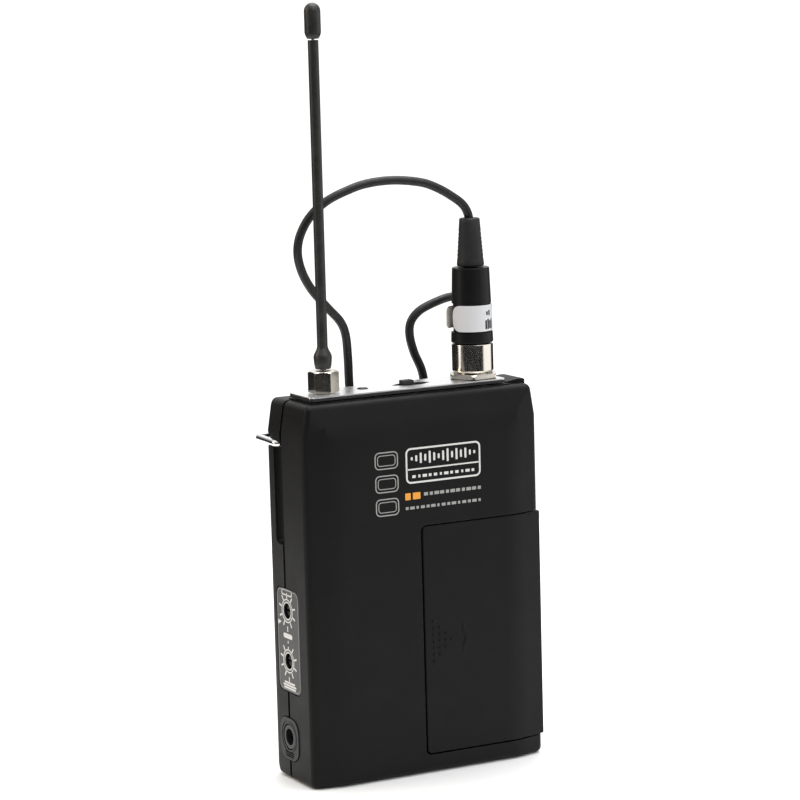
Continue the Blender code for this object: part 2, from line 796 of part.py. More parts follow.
def charge_jack():
    jack = box("charge_jack", (-29.4 * MM, -0.1 * MM, 7.6 * MM), (-20.5 * MM, 5.4 * MM, 13.8 * MM))
    axis_point = (-BODY_W / 2 - 0.1 * MM, JACK_Y, JACK_Z)
    join(jack, rod("tool_jack_nose", 3.0 * MM, axis_point, 4.2 * MM, "X", 28))
    cut(jack, rod("tool_jack_bore", 2.1 * MM, (-34 * MM, JACK_Y, JACK_Z), 11 * MM, "X", 28))
    join(jack, rod("tool_jack_pin", 0.65 * MM, (-31.4 * MM, JACK_Y, JACK_Z), 9.4 * MM, "X", 16))
    surround = side_plate(
        "jack_surround",
        SURROUND_HIGH,
        SURROUND_WIDE,
        3.4 * MM,
        0.5 * MM,
        -BODY_W / 2 + 0.05 * MM,
        SURROUND_CENTRE,
    )
    cut(surround, rod("tool_surround_hole", 3.3 * MM, (-34 * MM, JACK_Y, JACK_Z), 4 * MM, "X"))
    paint(BLACK_PLASTIC, jack)
    paint(RUBBER, surround)


def side_label():
    label = side_plate(
        "side_label", LABEL_HIGH, LABEL_WIDE, 2.0 * MM, 0.2 * MM, -BODY_W / 2 + 0.15 * MM, LABEL_CENTRE,
    )
    for number, height in enumerate(TRIMMER_Z):
        cut(
            label,
            rod(f"tool_label_hole{number}", 1.95 * MM, (-34 * MM, SIDE_HOLE_Y, height), 4 * MM, "X", 24),
        )
    paint(BLACK_PLASTIC, label)


# ---------------------------------------------------------------- antenna
def hexagon(across_flats, turn=0.0):
    radius = across_flats / math.sqrt(3)
    return [
        (
            radius * math.cos(math.radians(60 * side + turn)),
            radius * math.sin(math.radians(60 * side + turn)),
        )
        for side in range(6)
    ]


def antenna():
    foot = PLATE_TOP + 0.2 * MM
    top = PLATE_TOP + 5.6 * MM
    base = slab("antenna_base", hexagon(6.6 * MM, 31), top - foot, (ANTENNA_X, FEATURE_Y, (top + foot) / 2))
    guard = [
        (0.0, top - foot),
        (2.9 * MM, top - foot),
        (3.9 * MM, top - foot - 0.6 * MM),
        (3.9 * MM, 0.0),
        (0.0, 0.0),
    ]
    keep(base, turned("tool_hex_guard", guard, (ANTENNA_X, FEATURE_Y, foot)))
    join(base, rod("tool_antenna_stud", 1.6 * MM, (ANTENNA_X, FEATURE_Y, 86 * MM), 11 * MM, "Z", 20))
    cut(base, rod("tool_antenna_bore", 0.8 * MM, (ANTENNA_X, FEATURE_Y, 98 * MM), 8 * MM, "Z", 16))
    nut = slab("antenna_nut", hexagon(5.0 * MM, 30), 1.9 * MM, (ANTENNA_X, FEATURE_Y, 90.2 * MM))
    cut(nut, rod("tool_nut_bore", 1.9 * MM, (ANTENNA_X, FEATURE_Y, 86 * MM), 8 * MM, "Z", 20))

    root = top + GAP
    tip = 181.1 * MM
    profile = [(1.3 * MM, tip - root)]
    for step in range(7):
        part = step / 6
        blend = 0.5 + 0.5 * math.cos(math.pi * part)
        profile.append(((2.25 - 0.95 * blend) * MM, (5.6 - 2.8 * part) * MM))
    profile += [(2.15 * MM, 1.4 * MM), (1.9 * MM, 0.0), (0.75 * MM, 0.0), (0.75 * MM, tip - root)]
    whip = turned("antenna_whip", profile, (ANTENNA_X, FEATURE_Y, root), steps=20, ring=True)
    core = rod("antenna_core", 0.42 * MM, (ANTENNA_X, FEATURE_Y, 98.6 * MM), 87 * MM, "Z", 12)

    cap_low = tip + GAP
    cap_profile = [(0.0, 8.6 * MM)]
    for step in range(1, 5):
        angle = math.radians(22.5 * step)
        cap_profile.append((2.0 * MM * math.sin(angle), 6.6 * MM + 2.0 * MM * math.cos(angle)))
    cap_profile += [(2.0 * MM, 1.5 * MM), (1.5 * MM, 0.2 * MM), (1.3 * MM, 0.0), (0.0, 0.0)]
    cap = turned("antenna_tip", cap_profile, (ANTENNA_X, FEATURE_Y, cap_low), steps=20)
    cut(cap, rod("tool_cap_bore", 0.75 * MM, (ANTENNA_X, FEATURE_Y, cap_low - MM), 6.4 * MM, "Z", 16))
    paint(NICKEL, base, nut)
    paint(RUBBER, whip, cap)
    paint(STEEL, core)


# ---------------------------------------------------------------- switch and lamp
def power_switch():
    rest = SWITCH_X - SWITCH_TRAVEL / 2
    origin = (rest, FEATURE_Y, PLATE_TOP)
    knob = box(
        "power_knob",
        (rest - 1.5 * MM, FEATURE_Y - 1.3 * MM, 94.7 * MM),
        (rest + 1.5 * MM, FEATURE_Y + 1.3 * MM, 97.1 * MM),
    )
    soften(knob, 0.25 * MM, 2)
    for number in range(3):
        x = rest + (number - 1) * 0.75 * MM
        cut(
            knob,
            box(
                f"tool_knob_rib{number}",
                (x - 0.17 * MM, -4 * MM, 96.8 * MM),
                (x + 0.17 * MM, 4 * MM, 99 * MM),
            ),
        )
    join(
        knob,
        box(
            "tool_knob_stem",
            (rest - 0.7 * MM, FEATURE_Y - 0.8 * MM, 89.4 * MM),
            (rest + 0.7 * MM, FEATURE_Y + 0.8 * MM, 95 * MM),
        ),
    )
    body = box(
        "switch_body",
        (SWITCH_X - 4.8 * MM, FEATURE_Y - 3.0 * MM, 85.6 * MM),
        (SWITCH_X + 4.8 * MM, FEATURE_Y + 1.9 * MM, 91.2 * MM),
    )
    cut(
        body,
        box(
            "tool_switch_well_low",
            (SWITCH_X - 2.4 * MM, FEATURE_Y - 1.1 * MM, 88.8 * MM),
            (SWITCH_X + 2.4 * MM, FEATURE_Y + 1.1 * MM, 93 * MM),
        ),
    )
    move_origin(knob, origin)
    paint(BLACK_PLASTIC, knob, body)


def move_origin(item, origin):
    """Shifts an object's origin without moving its surface."""
    shift = Vector(item.location) - Vector(origin)
    item.data.transform(Matrix.Translation(shift))
    item.location = origin


def status_led():
    profile = [
        (0.0, 6.3 * MM),
        (0.55 * MM, 6.25 * MM),
        (0.95 * MM, 6.0 * MM),
        (1.05 * MM, 5.6 * MM),
        (1.05 * MM, 0.0),
        (0.0, 0.0),
    ]
    lamp = turned("status_led", profile, (LED_X, FEATURE_Y, 90.0 * MM), steps=20)
    paint(LENS, lamp)


# ---------------------------------------------------------------- socket and plug
def mic_socket():
    low = 86.0 * MM
    profile = [
        (4.6 * MM, 11.4 * MM),
        (4.6 * MM, 5.1 * MM),
        (5.15 * MM, 5.1 * MM),
        (5.15 * MM, 3.6 * MM),
        (4.6 * MM, 3.6 * MM),
        (4.6 * MM, 0.0),
        (4.1 * MM, 0.0),
        (4.1 * MM, 11.4 * MM),
    ]
    barrel = turned("socket_barrel", profile, (SOCKET_X, FEATURE_Y, low), steps=32, ring=True)
    height = 1.2 * MM
    nut = slab(
        "socket_nut",
        hexagon(11.3 * MM, 2),
        height,
        (SOCKET_X, FEATURE_Y, PLATE_TOP + 0.2 * MM + height / 2),
    )
    guard = [(0.0, height), (5.6 * MM, height), (6.4 * MM, height - 0.5 * MM), (6.4 * MM, 0.0), (0.0, 0.0)]
    keep(nut, turned("tool_socket_guard", guard, (SOCKET_X, FEATURE_Y, PLATE_TOP + 0.2 * MM), steps=32))
    cut(nut, rod("tool_socket_nut_bore", 4.9 * MM, (SOCKET_X, FEATURE_Y, 94 * MM), 6 * MM, "Z", 32))
    insert = rod("socket_insert", 3.8 * MM, (SOCKET_X, FEATURE_Y, 86.3 * MM), 3.3 * MM, "Z", 32)
    for number in range(4):
        x, y = pin_place(number)
        join(insert, rod(f"tool_pin{number}", 0.45 * MM, (x, y, 84 * MM), 11.5 * MM, "Z", 12))
    paint(NICKEL, barrel, nut)
    paint(BLACK_PLASTIC, insert)


def pin_place(number):
    angle = math.radians(45 + 90 * number)
    return SOCKET_X + 1.75 * MM * math.cos(angle), FEATURE_Y + 1.75 * MM * math.sin(angle)


def plug():
    holder = bpy.data.objects.new("plug_axis", None)
    holder.location = (SOCKET_X, FEATURE_Y, PLATE_TOP)
    PARTS.objects.link(holder)
    base = PLATE_TOP

    shell_profile = [
        (4.95 * MM, 8.7 * MM),
        (5.15 * MM, 8.5 * MM),
        (5.15 * MM, 2.0 * MM),
        (4.9 * MM, 1.7 * MM),
        (3.8 * MM, 1.7 * MM),
        (3.8 * MM, -5.4 * MM),
        (3.4 * MM, -5.4 * MM),
        (3.4 * MM, 3.0 * MM),
        (4.45 * MM, 3.0 * MM),
        (4.45 * MM, 8.7 * MM),
    ]
    shell = turned("plug_shell", shell_profile, (SOCKET_X, FEATURE_Y, base), steps=32, ring=True)
    cut(shell, box(
        "tool_latch_window",
        (SOCKET_X - 1.65 * MM, FEATURE_Y + 3 * MM, base + 3.4 * MM),
        (SOCKET_X + 1.65 * MM, FEATURE_Y + 8 * MM, base + 7.4 * MM),
    ))
    insert = rod("plug_insert", 3.1 * MM, (SOCKET_X, FEATURE_Y, base - 5.1 * MM), 7.7 * MM, "Z", 32)
    for number in range(4):
        x, y = pin_place(number)
        cut(insert, rod(f"tool_pin_hole{number}", 0.75 * MM, (x, y, base - 6 * MM), 7.4 * MM, "Z", 12))

    collar_profile = [
        (4.35 * MM, 27.7 * MM),
        (4.65 * MM, 27.4 * MM),
        (4.93 * MM, 18.8 * MM),
        (4.6 * MM, 18.8 * MM),
        (4.6 * MM, 11.6 * MM),
        (5.17 * MM, 11.6 * MM),
        (5.25 * MM, 9.3 * MM),
        (5.05 * MM, 9.0 * MM),
        (4.15 * MM, 9.0 * MM),
        (4.15 * MM, 7.9 * MM),
        (3.1 * MM, 7.9 * MM),
        (3.1 * MM, 25.6 * MM),
        (1.9 * MM, 25.6 * MM),
        (1.9 * MM, 27.7 * MM),
    ]
    collar = turned("plug_collar", collar_profile, (SOCKET_X, FEATURE_Y, base), steps=32, ring=True)
    relief_profile = [
        (0.0, 39.9 * MM),
        (2.3 * MM, 39.9 * MM),
        (2.55 * MM, 39.6 * MM),
        (3.4 * MM, 28.3 * MM),
        (3.25 * MM, 28.0 * MM),
        (1.6 * MM, 28.0 * MM),
        (1.6 * MM, 26.2 * MM),
        (0.0, 26.2 * MM),
    ]
    relief = turned("plug_strain_relief", relief_profile, (SOCKET_X, FEATURE_Y, base), steps=24)

    latch = box(
        "plug_latch",
        (SOCKET_X - 1.3 * MM, FEATURE_Y + 4.3 * MM, base + 3.75 * MM),
        (SOCKET_X + 1.3 * MM, FEATURE_Y + 5.6 * MM, base + 7.05 * MM),
    )
    soften(latch, 0.2 * MM, 2)
    wrap = plug_label_outline(4.92 * MM, 0.25 * MM)
    label = slab("plug_label", wrap, 6.5 * MM, (SOCKET_X, FEATURE_Y, base + 15.2 * MM))
    paint(NICKEL, shell, latch)
    paint(BLACK_PLASTIC, insert, collar)
    paint(RUBBER, relief)
    paint(PAPER, label)
    bpy.context.view_layer.update()
    for piece in (shell, insert, collar, relief, latch, label):
        piece.parent = holder
        piece.matrix_parent_inverse = holder.matrix_world.inverted()


def plug_label_outline(inner, thickness):
    """Paper wrapped round the plug, with its loose end standing out as a small flag."""
    start, end = 150, 440
    flag = 1.1 * MM
    outer = inner + thickness

    def at(radius, degrees):
        angle = math.radians(degrees)
        return radius * math.cos(angle), radius * math.sin(angle)

    steps = 36
    outer_arc = [at(outer, start + 3 + (end - start - 3) * step / steps) for step in range(steps + 1)]
    inner_arc = [at(inner, end - (end - start) * step / steps) for step in range(steps + 1)]
    return outer_arc + inner_arc + [at(outer + flag, start), at(outer + flag, start + 2)]


# ---------------------------------------------------------------- belt clip
def belt_clip():
    """Sprung wire: each foot turns in the case, and the loop hangs down behind it."""
    y, z = CLIP_PIVOT
    back = CLIP_BACK_Y
    half = [
        ((0.0, back + 1.2 * MM, CLIP_FOOT_Z), 0.0),
        ((-CLIP_RUN_X, back + 1.2 * MM, CLIP_FOOT_Z), 6 * MM),
        ((-CLIP_RUN_X, back, CLIP_FOOT_Z + 9 * MM), 6 * MM),
        ((-CLIP_RUN_X, back, z + 0.9 * MM), 1.6 * MM),
        ((-CLIP_SIDE_X, back, z + 0.3 * MM), 1.5 * MM),
        ((-CLIP_SIDE_X, y, z), 1.2 * MM),
        ((-28.3 * MM, y, z), 0.0),
    ]
    mirrored = [((-point[0], point[1], point[2]), radius) for point, radius in reversed(half[1:])]
    clip = wire("belt_clip", bent_path(mirrored + half[1:], 4), CLIP_WIRE_R, (0.0, y, z))
    paint(STEEL, clip)


# ---------------------------------------------------------------- lead, coil, capsule and tie clip
UPPER_ROUTE = (
    (19.1, -1.0, 136.9), (18.7, -1.0, 137.5), (17.6, -0.95, 138.7), (15.4, -0.8, 140.5), (11.5, -0.3, 143.2),
    (6.9, 0.3, 145.3),
    (-0.4, 1.3, 146.2), (-7.3, 2.3, 145.7), (-12.5, 3.0, 144.2), (-17.6, 3.8, 141.9), (-21.6, 4.6, 138.5),
    (-24.0, 5.5, 134.1), (-24.5, 6.3, 129.7), (-23.1, 7.2, 125.0), (-20.1, 8.1, 120.2), (-15.3, 9.2, 115.2),
    (-11.5, 10.2, 111.5), (-9.5, 11.3, 107.7), (-8.4, 12.6, 101.6), (-8.0, 13.2, 97.0), (-8.0, 13.2, 95.7),
)
LOWER_ROUTE = (
    (-8.0, 13.2, 95.4), (-7.95, 13.2, 94.0), (-7.6, 13.4, 86.0), (-7.4, 13.4, 70.0), (-7.4, 13.3, 50.0),
    (-7.6, 13.3, 32.0), (-7.8, 13.8, 20.0), (-8.0, 15.2, 9.5), (-8.2, 18.2, 3.9), (-8.4, 21.4, 2.2),
    (-8.5, 23.6, 1.9), (-8.6, 24.6, 1.9),
)
RISE_ROUTE = (
    (20.6, 24.6, 8.5), (20.5, 23.8, 8.6), (20.0, 20.8, 9.8), (18.8, 17.3, 13.4), (16.8, 14.6, 21.0),
    (15.2, 13.4, 32.0),
    (14.3, 13.3, 50.0), (13.9, 13.3, 70.0), (13.8, 13.4, 86.0), (13.2, 13.6, 95.6), (10.8, 13.6, 101.6),
    (9.5, 13.2, 106.0), (9.7, 12.8, 109.4), (11.9, 12.4, 112.0), (15.9, 12.0, 113.8), (20.8, 11.8, 115.0),
    (25.0, 12.0, 114.2), (27.6, 12.6, 110.6), (28.3, 13.2, 104.0), (28.4, 13.4, 95.0), (28.4, 13.4, 76.0),
    (28.4, 13.3, 55.0), (28.6, 13.4, 35.0), (29.0, 14.2, 20.0), (30.2, 16.0, 10.4), (31.5, 18.6, 5.9),
    (32.0, 20.8, 4.8), (32.0, 21.9, 4.8),
)


def cord():
    """The lead arches from the plug behind the antenna, falls to its coil, then rises and ends in the capsule."""
    spacing = 2.6 * 2 * CORD_R
    pieces = []
    for name, route in (
        ("cord_upper", UPPER_ROUTE), ("cord_lower", LOWER_ROUTE), ("cord_rise", RISE_ROUTE),
    ):
        points = smooth_route([Vector(point) * MM for point in route], spacing)
        pieces.append(wire(name, points, CORD_R))
    ring = [
        (COIL_OUTER, COIL_HIGH),
        (COIL_OUTER, COIL_LOW),
        (COIL_INNER, COIL_LOW),
        (COIL_INNER, COIL_HIGH),
    ]
    coil = turned("cord_coil", ring, (*COIL_CENTRE, 0.0), steps=40, ring=True)
    middle = (COIL_INNER + COIL_OUTER) / 2
    tie = box(
        "cord_tie",
        (middle - 3.2 * MM, -2 * MM, 0.1 * MM),
        (middle + 3.0 * MM, 2 * MM, COIL_HIGH + 0.6 * MM),
    )
    cut(
        tie,
        box(
            "tool_tie_hollow",
            (middle - 2.9 * MM, -6 * MM, 0.4 * MM),
            (middle + 2.7 * MM, 6 * MM, COIL_HIGH + GAP),
        ),
    )
    turn = Matrix.Translation((*COIL_CENTRE, 0.0)) @ Matrix.Rotation(math.radians(55), 4, "Z")
    for item in (tie, bpy.data.objects["tool_tie_hollow"]):
        item.matrix_world = turn @ Matrix.Translation(item.location)
    paint(RUBBER, *pieces, coil)
    paint(BLACK_PLASTIC, tie)


def microphone():
    """Capsule lying on the surface, its axis along Y."""
    relief_low = 22.2 * MM
    relief_profile = [
        (0.0, 6.4 * MM),
        (2.3 * MM, 6.4 * MM),
        (2.3 * MM, 5.4 * MM),
        (1.45 * MM, 0.3 * MM),
        (1.3 * MM, 0.0),
        (0.0, 0.0),
    ]
    relief = turned("mic_strain_relief", relief_profile, (MIC_X, relief_low, MIC_Z), "Y", 20)
    barrel_low = relief_low + 6.7 * MM
    barrel_profile = [
        (3.3 * MM, 13.0 * MM),
        (3.5 * MM, 12.8 * MM),
        (3.5 * MM, 0.6 * MM),
        (2.9 * MM, 0.0),
        (1.2 * MM, 0.0),
        (1.2 * MM, 1.2 * MM),
        (2.9 * MM, 1.2 * MM),
        (2.9 * MM, 13.0 * MM),
    ]
    barrel = turned("mic_barrel", barrel_profile, (MIC_X, barrel_low, MIC_Z), "Y", 24, ring=True)
    capsule = rod("mic_capsule", 2.6 * MM, (MIC_X, barrel_low + 8.5 * MM, MIC_Z), 3.6 * MM, "Y", 24)
    grille_low = barrel_low + 13.3 * MM
    grille_profile = [(0.0, 6.0 * MM)]
    for step in range(1, 6):
        angle = math.radians(18 * step)
        grille_profile.append((3.8 * MM * math.sin(angle), 2.6 * MM + 3.4 * MM * math.cos(angle)))
    grille_profile += [
        (3.8 * MM, 0.4 * MM),
        (3.5 * MM, 0.0),
        (3.1 * MM, 0.0),
        (3.1 * MM, 2.6 * MM),
        (2.2 * MM, 4.6 * MM),
        (0.0, 5.2 * MM),
    ]
    grille = turned("mic_grille", grille_profile, (MIC_X, grille_low, MIC_Z), "Y", 24)
    paint(RUBBER, relief)
    paint(BLACK_PLASTIC, barrel, grille)
    paint(STEEL, capsule)


def tie_clip():
    """Alligator clip that holds the capsule: a fixed jaw with its ring, and a sprung jaw on a pin."""
    pivot = (40.4 * MM, 38.0 * MM)
    low = 1.6 * MM
    high = 8.0 * MM
    fixed_outline = [(37.0, 21.0), (38.3, 21.0), (38.3, 46.5), (37.2, 47.5), (37.0, 46.0)]
    fixed = slab(
        "clip_jaw_fixed",
        [(x * MM, y * MM) for x, y in fixed_outline],
        high - low,
        (0.0, 0.0, (low + high) / 2),
    )
    for tag, start, end in (("low", low, low + 0.8 * MM), ("high", high - 0.8 * MM, high)):
        join(
            fixed,
            box(
                f"tool_ear_{tag}",
                (38.0 * MM, pivot[1] - 1.8 * MM, start),
                (42.0 * MM, pivot[1] + 1.8 * MM, end),
            ),
        )
    ring_profile = [(4.65 * MM, 3.6 * MM), (4.65 * MM, 0.0), (3.8 * MM, 0.0), (3.8 * MM, 3.6 * MM)]
    join(fixed, turned("tool_mic_ring", ring_profile, (MIC_X, 32.5 * MM, MIC_Z), "Y", 24, ring=True))
    join(fixed, box("tool_ring_bridge", (36.2 * MM, 32.8 * MM, 3.4 * MM), (37.6 * MM, 35.8 * MM, 6.2 * MM)))
    cut(fixed, rod("tool_ear_bore", 1.0 * MM, (*pivot, 0.0), 12 * MM, "Z", 20))

    moving_outline = [
        (38.7, 21.0), (40.2, 21.0), (40.7, 34.0), (42.4, 38.0),
        (44.8, 47.0), (43.6, 47.6), (40.9, 41.0), (39.0, 37.0),
    ]
    inset = 1.1 * MM
    moving = slab(
        "clip_jaw_moving",
        [(x * MM, y * MM) for x, y in moving_outline],
        high - low - 2 * inset,
        (0.0, 0.0, (low + high) / 2),
    )
    cut(moving, rod("tool_jaw_bore", 1.0 * MM, (*pivot, 0.0), 12 * MM, "Z", 20))
    cut(moving, rod("tool_spring_room", 2.1 * MM, (*pivot, 3.6 * MM), 2.4 * MM, "Z", 20))
    for number in range(5):
        y = (21.8 + 1.5 * number) * MM
        cut(moving, box(f"tool_tooth{number}", (38.0 * MM, y, 0.0), (39.1 * MM, y + 0.6 * MM, 12 * MM)))
    move_origin(moving, (*pivot, (low + high) / 2))
    pin = rod("clip_pin", 0.7 * MM, (*pivot, 1.4 * MM), 6.8 * MM, "Z", 16)
    coil = []
    for step in range(21):
        angle = 2 * math.pi * step / 10
        radius = 1.45 * MM
        coil.append(
            (
                pivot[0] + radius * math.cos(angle),
                pivot[1] + radius * math.sin(angle),
                (4.1 + 1.4 * step / 20) * MM,
            )
        )
    spring = wire("clip_spring", coil, 0.25 * MM, (*pivot, 4.8 * MM))
    paint(STEEL, fixed, moving, pin, spring)


front_shell()
rear_shell()
battery_door()
top_plate()
case_screws()
battery_tray()
batteries()
battery_contacts()
main_board()
trimmers()
charge_jack()
side_label()
antenna()
power_switch()
status_led()
mic_socket()
plug()
belt_clip()
cord()
microphone()
tie_clip()
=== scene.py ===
"""Looks of the lavalier microphone set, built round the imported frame.

Mesh tools and finishes take millimetres.
"""

import math

import bmesh
import bpy
from mathutils import Matrix, Vector


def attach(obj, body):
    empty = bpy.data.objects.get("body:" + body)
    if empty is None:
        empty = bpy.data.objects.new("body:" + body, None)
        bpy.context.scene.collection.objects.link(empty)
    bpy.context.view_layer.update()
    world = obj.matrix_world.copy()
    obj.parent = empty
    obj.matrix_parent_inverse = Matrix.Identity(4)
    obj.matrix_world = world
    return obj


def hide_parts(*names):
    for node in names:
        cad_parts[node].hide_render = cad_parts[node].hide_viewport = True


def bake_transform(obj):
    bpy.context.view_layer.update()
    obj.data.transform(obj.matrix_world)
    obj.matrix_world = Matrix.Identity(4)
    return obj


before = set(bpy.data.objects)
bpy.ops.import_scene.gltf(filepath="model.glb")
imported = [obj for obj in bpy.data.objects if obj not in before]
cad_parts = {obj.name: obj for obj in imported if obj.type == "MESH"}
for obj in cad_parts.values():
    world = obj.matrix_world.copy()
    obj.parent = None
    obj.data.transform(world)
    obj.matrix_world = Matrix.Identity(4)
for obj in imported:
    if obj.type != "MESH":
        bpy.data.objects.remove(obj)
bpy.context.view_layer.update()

MM = 0.001
BODY = "transmitter"


# ---------------------------------------------------------------- camera
CAMERA_AZIMUTH = math.radians(-28.0)
CAMERA_ELEVATION = math.radians(8.42)
CAMERA_ROLL = math.radians(1.55)
CAMERA_TARGET = Vector((0.72, 2.8, 91.59)) * MM
CAMERA_DISTANCE = 0.7479
CAMERA_LENS = 135.85


def make_camera():
    level = Vector((math.cos(CAMERA_AZIMUTH), math.sin(CAMERA_AZIMUTH), 0.0))
    flat_back = Vector((math.sin(CAMERA_AZIMUTH), -math.cos(CAMERA_AZIMUTH), 0.0))
    back = flat_back * math.cos(CAMERA_ELEVATION) + Vector((0.0, 0.0, math.sin(CAMERA_ELEVATION)))
    upright = back.cross(level)
    across = math.cos(CAMERA_ROLL) * level - math.sin(CAMERA_ROLL) * upright
    up = math.sin(CAMERA_ROLL) * level + math.cos(CAMERA_ROLL) * upright
    lens = bpy.data.cameras.new("camera")
    lens.lens = CAMERA_LENS
    lens.sensor_width = 36.0
    lens.clip_start = 0.01
    lens.clip_end = 50.0
    camera = bpy.data.objects.new("camera", lens)
    pose = Matrix((across, up, back)).transposed().to_4x4()
    pose.translation = CAMERA_TARGET + back * CAMERA_DISTANCE
    camera.matrix_world = pose
    bpy.context.scene.collection.objects.link(camera)
    bpy.context.scene.camera = camera


make_camera()


# ---------------------------------------------------------------- mesh tools
def vertex(shape, x, y, z):
    return shape.verts.new((x * MM, y * MM, z * MM))


def shift(x, y, z):
    return Matrix.Translation((x * MM, y * MM, z * MM))


def spin(degrees, axis):
    return Matrix.Rotation(math.radians(degrees), 4, axis)


def polar(radius, degrees, centre=(0, 0)):
    angle = math.radians(degrees)
    return centre[0] + radius * math.cos(angle), centre[1] + radius * math.sin(angle)


def to_mesh(name, shape, place=None):
    bmesh.ops.recalc_face_normals(shape, faces=shape.faces)
    mesh = bpy.data.meshes.new(name)
    shape.to_mesh(mesh)
    shape.free()
    if place is not None:
        mesh.transform(place)
    return mesh


def bridge(shape, rings, closed=False):
    """Faces from ring to ring; a ring is a loop of vertices or a single one."""
    steps = max(len(ring) for ring in rings)
    following = rings[1:] + rings[:1] if closed else rings[1:]
    for near, far in zip(rings, following):
        for step in range(steps):
            corners = dict.fromkeys((
                near[step % len(near)],
                near[(step + 1) % len(near)],
                far[(step + 1) % len(far)],
                far[step % len(far)],
            ))
            if len(corners) > 2:
                shape.faces.new(list(corners))


def round_off(shape, edges, width, segments):
    shared = {"profile": 0.5, "affect": "EDGES", "clamp_overlap": True}
    bmesh.ops.bevel(shape, geom=edges, offset=width * MM, segments=segments, **shared)


AXIS_TURNS = {"Z": Matrix.Identity(4), "X": spin(90, "Y"), "Y": spin(-90, "X")}


def lathe(profile, base=(0, 0, 0), axis="Z", steps=64, ring=False):
    """Turned solid from (radius, height) pairs; a ring's profile closes on itself."""
    shape = bmesh.new()
    rings = []
    for radius, height in profile:
        count = steps if radius else 1
        rings.append([vertex(shape, *polar(radius, 360 * step / steps), height) for step in range(count)])
    bridge(shape, rings, ring)
    return to_mesh("lathe", shape, shift(*base) @ AXIS_TURNS[axis])


def rod(radius, start, length, axis="Z", steps=48, chamfer=0):
    profile = [(0, length), (radius - chamfer, length), (radius, length - chamfer)]
    profile += [(radius, chamfer), (radius - chamfer, 0), (0, 0)]
    return lathe(list(dict.fromkeys(profile)), start, axis, steps)


def block(low, high, edge=0, segments=3):
    low = Vector(low) * MM
    high = Vector(high) * MM
    shape = bmesh.new()
    place = Matrix.Translation((low + high) / 2) @ Matrix.Diagonal((*(high - low), 1.0))
    bmesh.ops.create_cube(shape, size=1.0, matrix=place)
    if edge:
        round_off(shape, list(shape.edges), edge, segments)
    return to_mesh("block", shape)


def slab(outline, low, high, place=None, edge=0, segments=2):
    """Prism over a flat outline in its own XY, between two heights; edge rounds its upper rim."""
    shape = bmesh.new()
    lower, upper = ([vertex(shape, x, y, height) for x, y in outline] for height in (low, high))
    shape.faces.new(list(reversed(lower)))
    lid = shape.faces.new(upper)
    bridge(shape, [lower, upper])
    if edge:
        round_off(shape, list(lid.edges), edge, segments)
    return to_mesh("slab", shape, place)


def frame_slab(outer, inner, low, high):
    """Flat ring between two outlines with the same number of points."""
    shape = bmesh.new()
    loops = [
        [vertex(shape, x, y, height) for x, y in outline]
        for outline, height in ((outer, low), (outer, high), (inner, high), (inner, low))
    ]
    bridge(shape, loops, closed=True)
    return to_mesh("frame", shape)


def capped(name, shape, rings):
    """Closes a row of equal rings with a face at both ends."""
    bridge(shape, rings)
    shape.faces.new(rings[0])
    shape.faces.new(list(reversed(rings[-1])))
    return to_mesh(name, shape)


def loft(sections):
    """Solid through XZ outlines, each at its own Y."""
    shape = bmesh.new()
    return capped("loft", shape, [[vertex(shape, x, y, z) for x, z in outline] for y, outline in sections])


def tube(path, radius, sides=16, domed=False):
    """Round bar along points."""
    path = [Vector(point) for point in path]
    heading = (path[1] - path[0]).normalized()
    side = heading.orthogonal().normalized()
    shape = bmesh.new()
    reach = 0.6 * radius if domed else 0
    tip = path[-1] + (path[-1] - path[-2]).normalized() * reach
    rings = [[vertex(shape, *(path[0] - heading * reach))]]
    for before, point, after in zip(path[:1] + path, path, path[1:] + path[-1:]):
        ahead = (after - before).normalized()
        side = (heading.rotation_difference(ahead) @ side).normalized()
        heading = ahead
        other = heading.cross(side)
        ring = []
        for step in range(sides):
            out, over = polar(radius, 360 * step / sides)
            ring.append(vertex(shape, *(point + out * side + over * other)))
        rings.append(ring)
    bridge(shape, [*rings, [vertex(shape, *tip)]])
    return to_mesh("tube", shape)


def temporary(mesh):
    item = bpy.data.objects.new("temporary", mesh)
    bpy.context.scene.collection.objects.link(item)
    return item


def combine(operation, mesh, *tools):
    """Boolean of a mesh with its tools; the objects made for it are removed again."""
    item = temporary(mesh)
    cutters = [temporary(tool) for tool in tools]
    for cutter in cutters:
        step = item.modifiers.new("combine", "BOOLEAN")
        step.operation = operation
        step.solver = "MANIFOLD"
        step.object = cutter
    bpy.context.view_layer.update()
    result = bpy.data.meshes.new_from_object(item.evaluated_get(bpy.context.evaluated_depsgraph_get()))
    for spare in (item, *cutters):
        bpy.data.objects.remove(spare, do_unlink=True)
    return result


def cut(mesh, *tools):
    return combine("DIFFERENCE", mesh, *tools)


def join(mesh, *tools):
    return combine("UNION", mesh, *tools)


def keep(mesh, tool):
    return combine("INTERSECT", mesh, tool)


def gather(*meshes):
    """Several meshes in one, with nothing merged."""
    shape = bmesh.new()
    for mesh in meshes:
        shape.from_mesh(mesh)
    return to_mesh("gathered", shape)


def soften(mesh, width, segments=3, low=30, high=180):
    """Rounds the edges whose faces meet at an angle between low and high degrees."""
    shape = bmesh.new()
    shape.from_mesh(mesh)
    chosen = [
        edge for edge in shape.edges
        if edge.is_manifold and math.radians(low) < edge.calc_face_angle() < math.radians(high)
    ]
    round_off(shape, chosen, width, segments)
    return to_mesh("soft", shape)


